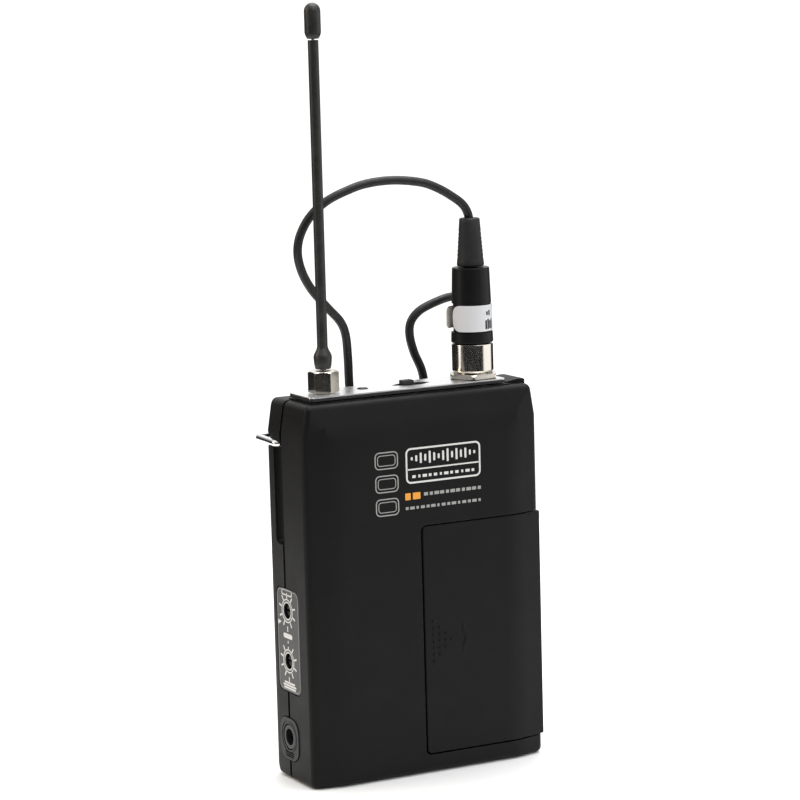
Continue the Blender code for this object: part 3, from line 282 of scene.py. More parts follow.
def piece(name, mesh, finish, *nodes, body=BODY, sharp=32):
    """A finished piece: shaded, painted, riding on its body and standing for the CAD nodes named."""
    slot, skin = finish
    mesh.name = name
    mesh.materials.clear()
    mesh.materials.append(skin)
    mesh.polygons.foreach_set("material_index", [0] * len(mesh.polygons))
    mesh.shade_smooth()
    mesh.set_sharp_from_angle(angle=math.radians(sharp))
    item = bpy.data.objects.new(name, mesh)
    bpy.context.scene.collection.objects.link(item)
    even = item.modifiers.new("even_shading", "WEIGHTED_NORMAL")
    even.keep_sharp = True
    if body:
        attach(item, body)
    if nodes:
        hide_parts(*nodes)
    return item


# ---------------------------------------------------------------- outlines and routes
def rounded_rectangle(width, height, radius, steps=8, centre=(0, 0)):
    points = []
    for side, rise, start in ((1, -1, -90), (1, 1, 0), (-1, 1, 90), (-1, -1, 180)):
        corner = (centre[0] + side * (width / 2 - radius), centre[1] + rise * (height / 2 - radius))
        points += [polar(radius, start + 90 * step / steps, corner) for step in range(steps + 1)]
    return points


def circle(radius, centre):
    return [polar(radius, 7.5 * step, centre) for step in range(48)]


def hexagon(across_flats, turn):
    return [polar(across_flats / math.sqrt(3), 60 * side + turn) for side in range(6)]


def pointed_oval(length, width):
    lower = []
    for step in range(16):
        along = step / 8 - 1
        lower.append((along * length / 2, -width / 2 * (1 - along * along)))
    return lower + [(-across, -up) for across, up in lower]


def smooth_route(points, spacing):
    """Evenly spaced points on a smooth curve through a route; its first and last points only steer it."""
    route = [Vector(point) for point in points]
    fine = []
    for before, start, end, after in zip(route, route[1:], route[2:], route[3:]):
        for step in range(32):
            t = step / 32
            fine.append(0.5 * (
                2 * start
                + (end - before) * t
                + (2 * before - 5 * start + 4 * end - after) * t * t
                + (3 * start - before - 3 * end + after) * t ** 3
            ))
    fine.append(route[-2])
    length = run_length(fine)
    count = max(2, round(length / spacing))
    result = [fine[0]]
    travelled = 0.0
    for a, b in zip(fine, fine[1:]):
        step = (b - a).length
        while len(result) < count and travelled + step >= length * len(result) / count:
            result.append(a.lerp(b, (length * len(result) / count - travelled) / step))
        travelled += step
    result.append(fine[-1])
    return result


def run_length(path):
    return sum((b - a).length for a, b in zip(path, path[1:]))


def bent_path(corners, steps):
    """Straight runs joined by round bends; each corner is (point, bend radius)."""
    points = [Vector(point) for point, _ in corners]
    path = points[:1]
    for before, here, after, (_, radius) in zip(points, points[1:], points[2:], corners[1:]):
        back = (before - here).normalized()
        ahead = (after - here).normalized()
        half = back.angle(ahead) / 2
        reach = radius / math.tan(half)
        middle = here + (back + ahead).normalized() * radius / math.sin(half)
        start = here + back * reach - middle
        axis = start.cross(here + ahead * reach - middle).normalized()
        for step in range(steps + 1):
            path.append(middle + Matrix.Rotation((math.pi - 2 * half) * step / steps, 3, axis) @ start)
    return path + points[-1:]


# ---------------------------------------------------------------- materials
def add_node(tree, kind, inputs, **settings):
    """New shader node; each input, by name or number, is a socket to link or a value to set."""
    node = tree.nodes.new("ShaderNode" + kind)
    for name, value in settings.items():
        setattr(node, name, value)
    for key, value in inputs.items():
        feed(tree, node.inputs[key], value)
    return node


def feed(tree, socket, value):
    if isinstance(value, bpy.types.NodeSocket):
        tree.links.new(value, socket)
    else:
        socket.default_value = value


class Skin:
    """A procedural finish; its pattern follows the piece's own coordinates. Sizes are in millimetres."""

    def __init__(self, name, colour, roughness, **shader_values):
        self.material = bpy.data.materials.new(name)
        self.material.use_nodes = True
        self.tree = self.material.node_tree
        self.colour = colour
        self.tint = (*colour, 1.0)
        self.bumps = {}
        self.place = self.add("TexCoord", {}, "Object")
        self.set("Base Color", self.tint)
        self.set("Roughness", roughness)
        for key, value in shader_values.items():
            self.set(key.replace("_", " "), value)

    def add(self, kind, inputs, output=0, **settings):
        return add_node(self.tree, kind, inputs, **settings).outputs[output]

    def set(self, key, value):
        feed(self.tree, self.tree.nodes["Principled BSDF"].inputs[key], value)

    def noise(self, size, detail=3.0, rough=0.55, stretch=None):
        """Cloudy pattern whose lumps are about size across."""
        place = self.add("Mapping", {"Vector": self.place, "Scale": stretch}) if stretch else self.place
        inputs = {"Vector": place, "Scale": 1 / (size * MM), "Detail": detail, "Roughness": rough}
        return self.add("TexNoise", inputs)

    def remap(self, value, low, high, start, end):
        inputs = {"Value": value, "From Min": low, "From Max": high, "To Min": start, "To Max": end}
        return self.add("MapRange", inputs)

    def edges(self, radius):
        """Share that is high along convex and concave edges."""
        bevel = self.add("Bevel", {"Radius": radius * MM}, samples=4)
        normal = self.add("NewGeometry", {}, "Normal")
        alike = self.add("VectorMath", {0: bevel, 1: normal}, "Value", operation="DOT_PRODUCT")
        return self.remap(alike, 1.0, 0.85, 0.0, 1.0)

    def blend(self, share, colour):
        """Mixes a colour over the base where share is high."""
        self.tint = self.add("Mix", {0: share, 6: self.tint, 7: (*colour, 1.0)}, 2, data_type="RGBA")
        self.set("Base Color", self.tint)

    def mottle(self, noise, low, high, share, brighter, added=0.0):
        """Spreads a brighter or darker shade of the skin's own colour over part of it."""
        colour = [channel * brighter + added for channel in self.colour]
        self.blend(self.remap(noise, low, high, 0.0, share), colour)

    def rough(self, pattern, smooth, dull, high=0.7):
        self.set("Roughness", self.remap(pattern, 0.3, high, smooth, dull))

    def bump(self, height, depth, strength=1.0):
        inputs = {"Height": height, "Distance": depth * MM, "Strength": strength, **self.bumps}
        self.bumps = {"Normal": self.add("Bump", inputs)}
        self.set("Normal", self.bumps["Normal"])


def moulded(slot, name, colour, roughness, grain, depth, wear=0.0, shine=0.38):
    """Moulded plastic: a fine spark-eroded grain, faint cloudiness, a little dust and rubbed edges."""
    skin = Skin(name, colour, roughness, Specular_IOR_Level=shine)
    skin.mottle(skin.noise(9, 4.0), 0.4, 0.75, 0.35, 1.5, 0.001)
    skin.mottle(skin.noise(0.55, 1.0), 0.72, 0.8, 0.22, 2.2, 0.01)
    if wear:
        patchy = skin.remap(skin.noise(1.3), 0.42, 0.62, 0.0, wear)
        rubbed = skin.add("Math", {0: skin.edges(0.25), 1: patchy}, operation="MULTIPLY")
        skin.blend(rubbed, (0.09, 0.09, 0.092))
    skin.rough(skin.noise(5, 5.0, 0.65), roughness - 0.04, roughness + 0.04)
    skin.bump(skin.noise(grain, 2.0), depth)
    skin.bump(skin.noise(14, 2.0), 0.05, 0.35)
    return slot, skin.material


def metal(slot, name, colour, roughness, brushed=(1.0, 1.0, 0.06), depth=0.002):
    """Plated or bright metal with hairline scratches, handling marks and a slightly uneven gloss."""
    skin = Skin(name, colour, roughness, Metallic=1.0)
    skin.mottle(skin.noise(3, 4.0, 0.6), 0.35, 0.75, 0.35, 0.82)
    lines = skin.noise(0.25, 4.0, 0.7, brushed)
    skin.rough(lines, roughness - 0.05, roughness + 0.05, 0.75)
    skin.bump(lines, depth)
    skin.bump(skin.noise(2.2, 2.0), 0.01, 0.25)
    return slot, skin.material


def rubbery(slot, name, colour, roughness):
    """Matt flexible jacket: fine drag lines, a dusty bloom and soft lumps."""
    skin = Skin(name, colour, roughness, Specular_IOR_Level=0.35)
    skin.mottle(skin.noise(4, 5.0), 0.45, 0.75, 0.55, 1.9, 0.004)
    skin.blend(skin.remap(skin.noise(0.35, 2.0), 0.66, 0.78, 0.0, 0.2), (0.12, 0.12, 0.115))
    skin.rough(skin.noise(2.5, 4.0), roughness - 0.08, roughness + 0.1)
    skin.bump(skin.noise(0.3, 2.0), 0.012)
    skin.bump(skin.noise(3, 2.0), 0.06, 0.4)
    return slot, skin.material


def paper():
    """Laminated label stock: faint fibre, slightly glossy, dulled by handling."""
    skin = Skin("paper_label", (0.62, 0.625, 0.64), 0.42)
    skin.blend(skin.remap(skin.noise(1.2, 5.0), 0.45, 0.8, 0.0, 0.25), (0.60, 0.59, 0.58))
    skin.rough(skin.noise(0.8), 0.34, 0.5)
    skin.bump(skin.noise(0.12), 0.004)
    return "paper_label", skin.material


def ink(name, colour, roughness=0.5, shine=0.4):
    """Screen-printed ink: slightly broken where it lies on the moulded grain."""
    skin = Skin(name, colour, roughness, Specular_IOR_Level=shine)
    skin.mottle(skin.noise(0.16, 2.0), 0.55, 0.75, 0.55, 0.45)
    skin.rough(skin.noise(0.3, 2.0), roughness - 0.08, roughness + 0.1)
    skin.bump(skin.noise(0.2, 2.0), 0.006)
    return "paper_label", skin.material


def board():
    """Solder mask with copper tracks showing through it."""
    skin = Skin("circuit_board", (0.012, 0.11, 0.04), 0.35)
    cells = {"Vector": skin.place, "Scale": 1 / (1.1 * MM), "Randomness": 0.35}
    tracks = skin.add("TexVoronoi", cells, feature="DISTANCE_TO_EDGE")
    skin.blend(skin.remap(tracks, 0.06, 0.1, 0.8, 0.0), (0.03, 0.24, 0.08))
    skin.rough(skin.noise(1), 0.28, 0.45)
    skin.bump(skin.remap(tracks, 0.05, 0.12, 1.0, 0.0), 0.02)
    return "circuit_board", skin.material


def lens():
    skin = Skin("lens", (0.03, 0.006, 0.006), 0.08, Specular_IOR_Level=0.25)
    skin.rough(skin.noise(0.3), 0.25, 0.4)
    return "lens", skin.material


CASE = moulded("black_shell", "case_plastic", (0.0040, 0.0040, 0.0041), 0.47, 0.22, 0.012, 0.35, 0.13)
PLASTIC = moulded("black_plastic", "small_plastic", (0.011, 0.011, 0.0115), 0.42, 0.16, 0.006, 0.2)
COLLAR = moulded("black_plastic", "collar_plastic", (0.004, 0.004, 0.0045), 0.38, 0.2, 0.004, 0.15, 0.2)
JACK_RIM = "rubber", COLLAR[1]
TRAY = moulded("black_plastic", "tray_plastic", (0.016, 0.016, 0.017), 0.55, 0.2, 0.01)
STRIP = moulded("black_plastic", "label_strip", (0.030, 0.030, 0.031), 0.4, 0.3, 0.004)
PLATE = metal("satin_plate", "satin_plate", (0.80, 0.80, 0.81), 0.3, (0.05, 1.0, 1.0), 0.004)
NICKEL = metal("nickel", "nickel", (0.74, 0.70, 0.63), 0.15, depth=0.0008)
SPRING_STEEL = metal("steel", "spring_steel", (0.72, 0.72, 0.72), 0.17, (0.15, 1.0, 1.0))
STEEL = metal("steel", "steel", (0.56, 0.56, 0.57), 0.27)
TIN = metal("steel", "tinned_shield", (0.60, 0.61, 0.60), 0.33)
RELIEF = rubbery("rubber", "relief_rubber", (0.008, 0.008, 0.0085), 0.55)
CORD = rubbery("rubber", "cord_jacket", (0.006, 0.006, 0.0065), 0.45)
WHIP = rubbery("rubber", "whip_jacket", (0.017, 0.017, 0.016), 0.36)
STRAP = rubbery("black_plastic", "strap", (0.010, 0.010, 0.011), 0.8)
MIC_PAINT = metal("black_plastic", "mic_paint", (0.06, 0.06, 0.062), 0.42)
PAPER = paper()
# Standing end of the plug label: the same paper, given a cream tint and made far brighter than the label
# itself. The extra brightness is painted light that offsets the shade of the plug's collar.
FLAG_PAPER_PAINTED_LIGHT = moulded("paper_label", "flag_paper_painted_light", (0.86, 0.83, 0.74), 0.5, 0.12, 0.003)
PALE_INK = ink("pale_ink", (0.62, 0.62, 0.60))
DIM_INK = ink("dim_ink", (0.30, 0.30, 0.29))
AMBER_INK = ink("amber_ink", (0.72, 0.30, 0.03))
DARK_INK = ink("dark_ink", (0.002, 0.002, 0.002), 0.7, 0.05)
BOARD = board()
SLEEVE = moulded("cell_sleeve", "cell_sleeve", (0.10, 0.105, 0.12), 0.25, 0.5, 0.002)
SLEEVE_BAND = moulded("cell_sleeve", "cell_band", (0.42, 0.23, 0.05), 0.25, 0.5, 0.002)
LENS = lens()


# ---------------------------------------------------------------- cord
CORD_R = 1.1
COIL_CENTRE = (6, 33.5, 0)
COIL_INNER = 11.9
COIL_OUTER = 14.1
COIL_LOW = 1.8
COIL_STEP = 2.2
COIL_TURNS = 7.5
FALL_ROUTE = (
    (19.6, -1, 133.5), (19.45, -1, 134.9), (19.3, -1, 136.2), (18.75, -1, 137.8), (17.5, -0.95, 139.5),
    (15.1, -0.8, 141.3), (11.5, -0.3, 143.5), (6.9, 0.3, 145.3), (-0.4, 1.3, 146.2), (-7.3, 2.3, 145.7),
    (-12.5, 3, 144.2),
    (-17.6, 3.8, 141.9), (-21.6, 4.6, 138.5), (-24, 5.5, 134.1), (-24.5, 6.3, 129.7), (-23.1, 7.2, 125),
    (-20.1, 8.1, 120.2), (-15.3, 9.2, 115.2), (-11.5, 10.2, 111.5), (-9.5, 11.3, 107.7), (-8.4, 12.6, 101.6),
    (-8, 13.2, 96.5), (-7.6, 13.4, 86), (-7.4, 13.4, 70), (-7.4, 13.3, 50), (-7.6, 13.3, 32),
    (-7.8, 13.8, 20), (-8, 15.2, 9.5), (-8.2, 18.2, 3.9), (-8.4, 21.4, 2.2), (-8.6, 24.6, 1.9),
    (-8.65, 28.5, 1.8), (-8.3, 31.6, 1.8),
)
RISE_ROUTE = (
    (20.3, 30.5, 8.4), (20.6, 27.5, 8.4), (20.6, 24.6, 8.5), (20, 20.8, 9.8), (18.8, 17.3, 13.4),
    (16.8, 14.6, 21), (15.2, 13.4, 32), (14.3, 13.3, 50), (13.9, 13.3, 70), (13.8, 13.4, 86),
    (13.2, 13.6, 95.6), (10.8, 13.6, 101.6), (9.5, 13.2, 106), (9.7, 12.8, 109.4), (11.9, 12.4, 112),
    (15.9, 12, 113.8), (20.8, 11.8, 115), (25, 12, 114.2), (27.6, 12.6, 110.6), (28.3, 13.2, 104),
    (28.4, 13.4, 95), (28.4, 13.4, 76), (28.4, 13.3, 55), (28.6, 13.4, 35), (29, 14.2, 20),
    (30.2, 16, 10.4), (31.5, 18.6, 5.9), (32, 20.8, 4.8), (32, 22.6, 4.8), (32, 24.5, 4.8),
)


def coil_points():
    """Turns beside and on each other; each step to the next comes a little earlier in its turn."""
    order = ((1, 0), (0, 0), (0, 1), (1, 1), (1, 2), (0, 2), (0, 3), (1, 3))
    per_turn = 36
    points = []
    for step in range(1, round(COIL_TURNS * per_turn)):
        travel = step / per_turn
        out, layer = order[0]
        for index, (next_out, next_layer) in enumerate(order[1:]):
            middle = index + 0.955 - 0.04 * index
            share = min(1, max(0, (travel - middle) / 0.06 + 0.5))
            share = share * share * (3 - 2 * share)
            out += (next_out - order[index][0]) * share
            layer += (next_layer - order[index][1]) * share
        radius = COIL_INNER + (COIL_OUTER - COIL_INNER) * out
        points.append((*polar(radius, 180 - 360 * travel, COIL_CENTRE), COIL_LOW + COIL_STEP * layer))
    return points


def lead():
    """One flexible lead from the plug to its coil and on to the capsule."""
    path = smooth_route([*FALL_ROUTE, *coil_points(), *RISE_ROUTE], 1)
    nodes = ("cord_upper", "cord_lower", "cord_coil", "cord_rise")
    item = piece("lead", tube(path, CORD_R, 14), CORD, *nodes, body=None)
    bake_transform(item)
    return item, [point * MM for point in path], run_length(path) * MM


lead_item, lead_path, lead_length = lead()
print("lead length", round(lead_length, 4))


# ---------------------------------------------------------------- dimensions shared with the frame
BODY_W = 65
BODY_D = 23
SHELL_H = 94.4
PLATE_TOP = 96
PLATE_T = 1
LEDGE_TOP = 94.7
SEAM_Y = 2.8
SEAM_GAP = 0.3
WALL = 1.6
REAR_WALL = 2.2
FRONT_FLAT_HALF = 24.6
FRONT_FLAT_TOP = 86.6
FRONT_BEVEL_D = 2.1
SIDE_TAPER = 1.3
TAPER_Z = 86.5
REAR_CHAMFER_Z = 2
EDGE_R = 1.7
GAP = 0.3
BACK = BODY_D / 2
LEFT = -BODY_W / 2
FEATURE_Y = -1
ANTENNA_X = -22.2
LED_X = -11.6
SWITCH_X = 1.85
SOCKET_X = 19.5
SWITCH_TRAVEL = 2.4
DOOR_LEFT = -2.1
DOOR_LOW = 4.5
DOOR_HIGH = 62.4
DOOR_PROUD = 0.5
CELL_R = 7.25
CELL_L = 50.5
CELL_X = (5.7, 20.8)
CELL_Y = -1
SIDE_HOLE_Y = 2.2
TRIMMER_Z = (42.5, 29.9)
JACK_Y = 2.8
JACK_Z = 10.7
LABEL_CENTRE = (-1.8, 35.1)
LABEL_HIGH = 25.8
LABEL_WIDE = 12
SURROUND_CENTRE = (-2.8, 10.2)
SURROUND_HIGH = 10.6
SURROUND_WIDE = 10
CLIP_WIRE_R = 0.88
CLIP_PIVOT = (5.6, 83.6)
CLIP_SIDE_X = 32.2
CLIP_BACK_Y = 16.45
CLIP_RUN_X = 26
CLIP_FOOT_Z = 30
MIC_X = 32
MIC_Z = 4.8
BOSS_MEET_Y = 1.2
SCREWS = ((-27.2, 88.9), (27.2, 88.9), (-6, 8.5))


def on_left(x):
    """Turns a drawing so that it faces -X at this x; the drawing's X is the frame's -Y and its Y is Z."""
    return shift(x, 0, 0) @ spin(-90, "Z") @ spin(90, "X")


def on_front(y):
    """Turns a drawing so that it faces -Y at this y; the drawing's X and Y are the frame's X and Z."""
    return shift(0, y, 0) @ spin(90, "X")


def case_outline(half, low, shoulder, top, taper):
    inner = half - taper
    return [(-half, low), (half, low), (half, shoulder), (inner, top), (-inner, top), (-half, shoulder)]


# ---------------------------------------------------------------- case
def case_blank():
    half = BODY_W / 2
    full = case_outline(half, 0, TAPER_Z, SHELL_H, SIDE_TAPER)
    face = case_outline(FRONT_FLAT_HALF, 0.5, 84, FRONT_FLAT_TOP, 0.2)
    back = case_outline(half - 0.8, REAR_CHAMFER_Z, 86.2, SHELL_H - 1, SIDE_TAPER)
    blank = loft([(-BACK, face), (FRONT_BEVEL_D - BACK, full), (BACK - 1.9, full), (BACK, back)])
    return keep(soften(blank, EDGE_R, 6, 28), crown())


def crown():
    """Solid with a broad soft roll from the flat front into its slopes."""
    drop = BODY_W / 2 - FRONT_FLAT_HALF
    slope = math.atan(FRONT_BEVEL_D / drop)
    reach = 3
    radius = reach / math.tan(slope / 2)
    stops = []
    for step in range(9):
        angle = slope * step / 8
        stops.append((radius * math.sin(angle) - reach, radius * (1 - math.cos(angle))))
    stops.append((1.3 * drop, 1.3 * FRONT_BEVEL_D))
    sections = []
    for out, depth in stops:
        share = out / drop
        top = FRONT_FLAT_TOP + (SHELL_H - FRONT_FLAT_TOP) * share
        outline = case_outline(FRONT_FLAT_HALF + out, -10, 84 + 2.5 * share, top, 0.2 + 1.1 * share)
        sections.append((depth - BACK, outline))
    sections.append((30, outline))
    return loft(sections)


def cavity(wall, near, far):
    half = BODY_W / 2 - wall
    inner = case_outline(half, wall + 0.1, TAPER_Z - 1, SHELL_H - wall - 0.2, 1.2)
    face = case_outline(FRONT_FLAT_HALF - 1.2, wall + 0.1, 82.5, 85, 0.2)
    front = wall - BACK
    if near > front + FRONT_BEVEL_D:
        return loft([(near, inner), (far, inner)])
    return loft([(front, face), (front + FRONT_BEVEL_D, inner), (far, inner)])


def seam_groove():
    """Ring that opens a narrow shadow line round the case where the shells meet."""
    depth = 0.4
    half = BODY_W / 2 - depth
    low = SEAM_Y - 0.5
    high = SEAM_Y + 0.5
    inner = case_outline(half, depth, TAPER_Z, SHELL_H - depth, SIDE_TAPER)
    return cut(block((-40, low, -5), (40, high, 110)), loft([(low - 1, inner), (high + 1, inner)]))


def side_cuts():
    """Openings that both shells share on the left side and the top."""
    tools = [rod(1.85, (LEFT - 1, SIDE_HOLE_Y, height), 4, "X") for height in TRIMMER_Z]
    tools.append(rod(3.3, (LEFT - 1, JACK_Y, JACK_Z), 4, "X"))
    for centre, high, wide, radius, depth in (
        (SURROUND_CENTRE, SURROUND_HIGH, SURROUND_WIDE, 3.7, 0.6),
        (LABEL_CENTRE, LABEL_HIGH, LABEL_WIDE, 2.3, 0.5),
    ):
        outline = rounded_rectangle(wide + 0.5, high + 0.5, radius, centre=centre)
        tools.append(slab(outline, -depth, 2, on_left(LEFT)))
    tools.append(rod(4.9, (SOCKET_X, FEATURE_Y, SHELL_H - 5), 8))
    return tools


def front_case():
    edge = SEAM_Y - SEAM_GAP / 2
    shell = keep(case_blank(), block((-40, -20, -5), (40, edge, 110)))
    shell = cut(shell, cavity(WALL, -20, 6), seam_groove())
    for x, z in SCREWS:
        start = -10.5 if z < TAPER_Z else -9
        shell = join(shell, rod(2.2, (x, start, z), BOSS_MEET_Y - GAP - start, "Y", 28))
        shell = cut(shell, rod(1.15, (x, -8, z), 14, "Y", 28))
    low = SHELL_H - 0.5
    ledge = block((-28.9, -7.9, low), (26, edge, LEDGE_TOP))
    end = [(25.8, low), (31, low), (31, 95.1), (30.6, 95.45), (29.4, 95.5), (25.8, 95)]
    rise = slab(end, -edge, 6.6, on_front(0))
    shell = join(shell, ledge, rise)
    opening = door_outline(DOOR_LEFT, DOOR_LOW, DOOR_HIGH, 40, 1.5)
    shell = cut(shell, slab(opening, -6, 20, on_front(0)))
    for low_z, high_z in ((3.5, 5), (62, 63.4)):
        shell = cut(shell, block((28, -7.8, low_z), (40, -6, high_z)))
    shell = cut(shell, *side_cuts())
    shell = cut(
        shell,
        rod(2, (ANTENNA_X, FEATURE_Y, SHELL_H - 5), 8),
        rod(1.4, (LED_X, FEATURE_Y, SHELL_H - 5), 8),
        slab(pointed_oval(11.3, 5.6), -1, 1, shift(SWITCH_X, FEATURE_Y, SHELL_H + 0.6)),
        block((SWITCH_X - 2.3, FEATURE_Y - 1.1, SHELL_H - 5), (SWITCH_X + 2.3, FEATURE_Y + 1.1, SHELL_H + 1)),
    )
    piece("case_front", shell, CASE, "front_shell", sharp=40)


def clip_cuts(side):
    """Groove and notch that take the belt clip's arm; side is -1 or 1."""
    outer = BODY_W / 2
    low_x, high_x = sorted((side * (outer - 1.7), side * (outer + 4)))
    groove = block((low_x, SEAM_Y - 2, 58.8), (high_x, 6.9, 84), 1.6, 5)
    y, z = CLIP_PIVOT
    half = 1.05
    wedge = [
        (y - 1.3, z - half), (y + 7, z - half), (y + 7, z + half + 1.9),
        (y + 0.3, z + half + 0.15), (y - 1.3, z + half),
    ]
    low_x, high_x = sorted((side * (outer + 1), side * (outer - 1.35)))
    notch = slab(wedge, low_x, high_x, spin(90, "Z") @ spin(90, "X"))
    hole = rod(1.05, (side * 28.5 - 3.5, y, z), 7, "X", 28)
    return groove, notch, hole


def rear_case():
    edge = SEAM_Y + SEAM_GAP / 2
    shell = keep(case_blank(), block((-40, edge, -5), (40, 20, 110)))
    shell = cut(shell, cavity(REAR_WALL, 0, BACK - 2), seam_groove())
    lip_wall = WALL + 0.4
    lip = cut(cavity(lip_wall, 1.2, 5), cavity(lip_wall + 0.8, 0.5, 6))
    shell = join(shell, lip)
    for side in (-1, 1):
        wall_in = 28.8 if side < 0 else 29.8
        for inner, near, low, far in ((wall_in, SEAM_Y + 0.5, 57.4, 8.6), (27, 3.4, 81, 9.8)):
            x_low, x_high = sorted((side * inner, side * 30.6))
            shell = join(shell, block((x_low, near, low), (x_high, far, 86.6)))
        shell = cut(shell, *clip_cuts(side))
    for x, z in SCREWS:
        shell = join(shell, rod(2.2, (x, BOSS_MEET_Y, z), 8.7, "Y", 28))
        shell = cut(shell, rod(1.2, (x, 0, z), 14, "Y", 28), rod(2.2, (x, BACK - 1.4, z), 4, "Y", 40))
    low = SHELL_H - 0.5
    shell = join(shell, block((-28.9, edge, low), (26, 4.8, LEDGE_TOP)))
    shell = cut(shell, *side_cuts())
    piece("case_rear", shell, CASE, "rear_shell", sharp=40)


def door_outline(left, low, high, right, radius):
    """Rectangle whose two left corners are rounded."""
    points = [(right, low), (right, high)]
    for centre, start in ((high - radius, 90), (low + radius, 180)):
        points += [polar(radius, start + 15 * step, (left + radius, centre)) for step in range(7)]
    return points


def door():
    half = BODY_W / 2 + DOOR_PROUD
    edge = SEAM_Y - SEAM_GAP / 2 - 0.25
    low = DOOR_LOW + GAP
    high = DOOR_HIGH - GAP
    left = DOOR_LEFT + GAP + 0.2

    def outline(reach):
        return door_outline(left, low, high, reach, 1.1)

    full = outline(half)
    shell = loft([(-BACK, outline(FRONT_FLAT_HALF)), (FRONT_BEVEL_D - BACK, full), (edge, full)])
    shell = keep(soften(shell, 0.4, 4, 28), crown())
    inner = half - WALL - 0.2

    def room(reach):
        return [(-20, -5), (reach, -5), (reach, 90), (-20, 90)]

    shell = cut(shell, loft([
        (WALL - BACK, room(23.4)), (WALL + FRONT_BEVEL_D - BACK, room(inner)), (20, room(inner)),
    ]))
    web_back = -6.4
    rail = 0.75
    near = WALL - BACK - 0.4
    for web_low, web_high, rail_low, rail_high in (
        (low, low + 1, low - rail, low + 0.5),
        (high - 1, high, high - 0.5, high + rail),
    ):
        shell = join(
            shell,
            block((0.5, near, web_low), (29.5, web_back, web_high)),
            block((0.5, web_back - 1, rail_low), (29.5, web_back, rail_high)),
        )
    behind = WALL - BACK + GAP
    shell = join(
        shell,
        block((DOOR_LEFT - 1.6, behind, 20), (left + 1.5, behind + 0.8, 47)),
        block((left + 0.2, near, 20), (left + 1.5, behind + 0.4, 47)),
    )
    piece("door", shell, CASE, "battery_door", body="battery_door", sharp=40)


def door_grip():
    """Domed dots in a wedge that points the way the door opens, and a raised arrowhead."""
    pitch = 1.7
    dome = [(0, 0.62), (0.22, 0.58), (0.4, 0.44), (0.5, 0.2), (0.52, 0), (0, 0)]
    dots = []
    for column in range(4):
        half = 3 - column
        for row in range(-half, half + 1):
            dot = lathe(dome, steps=20)
            dot.transform(shift(0.9 + column * pitch, 0.3 - BACK, 33.1 + row * pitch) @ spin(90, "X"))
            dots.append(dot)
    arrow = [(9, 29.2), (11.5, 33.1), (9, 37), (9, 34.9), (10, 33.1), (9, 31.3)]
    dots.append(slab(arrow, -0.1, 0.14, on_front(-BACK), 0.05))
    piece("door_grip", gather(*dots), CASE, body="battery_door")


def plate():
    outline = rounded_rectangle(54.3, 11.9, 1)
    middle = shift(-1.95, -1.55, PLATE_TOP - PLATE_T)
    tools = [
        rod(2, (ANTENNA_X, FEATURE_Y, PLATE_TOP - 3), 6),
        rod(1.35, (LED_X, FEATURE_Y, PLATE_TOP - 3), 6),
        rod(4.9, (SOCKET_X, FEATURE_Y, PLATE_TOP - 3), 6, steps=64),
        slab(pointed_oval(10.7, 5), -2, 2, shift(SWITCH_X, FEATURE_Y, PLATE_TOP)),
    ]
    # The metal is only a thin top sheet. Under it, a black plastic layer of the same outline makes the
    # plate's edge dark where the gap under its rim lies in shade: painted shade.
    sheet = slab(outline, PLATE_T - 0.28, PLATE_T, middle, 0.1, 2)
    painted_shade_layer = slab(outline, 0, PLATE_T - 0.29, middle)
    piece("plate", cut(sheet, *tools), PLATE, "top_plate")
    piece("plate_painted_shade_layer", cut(painted_shade_layer, *tools), PLASTIC)


def screws():
    profile = [(0, 0), (1.55, 0), (1.78, -0.1), (1.85, -0.28), (1.85, -0.5)]
    profile += [(0.85, -0.8), (0.85, -13), (0.4, -13.8), (0, -13.8)]
    for number, (x, z) in enumerate(SCREWS, start=1):
        screw = lathe(profile, axis="Y", steps=40)
        for wide, high in ((1.1, 0.26), (0.26, 1.1)):
            screw = cut(screw, block((-wide, -0.45, -high), (wide, 1, high)))
        screw.transform(shift(x, BACK - 0.3, z))
        piece(f"screw_{number}", screw, STEEL, f"case_screw_{number}")


front_case()
rear_case()
door()
door_grip()
plate()
screws()


# ---------------------------------------------------------------- printing
INK_HIGH = 0.03


def bar(x, y, wide, high, radius=0.12):
    radius = min(radius, high / 2.01, wide / 2.01)
    return slab(rounded_rectangle(wide, high, radius, 3, (x, y)), -INK_HIGH, INK_HIGH)


def outline_bar(x, y, wide, high, radius, stroke):
    outer = rounded_rectangle(wide, high, radius, 6, (x, y))
    inner = rounded_rectangle(wide - 2 * stroke, high - 2 * stroke, max(radius - stroke, 0.05), 6, (x, y))
    return frame_slab(outer, inner, -INK_HIGH, INK_HIGH)


def dashes(x, y, count, pitch, high, widths):
    """Row of plain dashes of uneven length that stands for a line of small print."""
    return [
        bar(x + number * pitch, y, widths[number % len(widths)] * pitch * 0.62, high, 0.06)
        for number in range(count)
    ]


def printed(name, shapes, place, skin):
    mesh = gather(*shapes)
    mesh.transform(place)
    piece(name, mesh, skin)


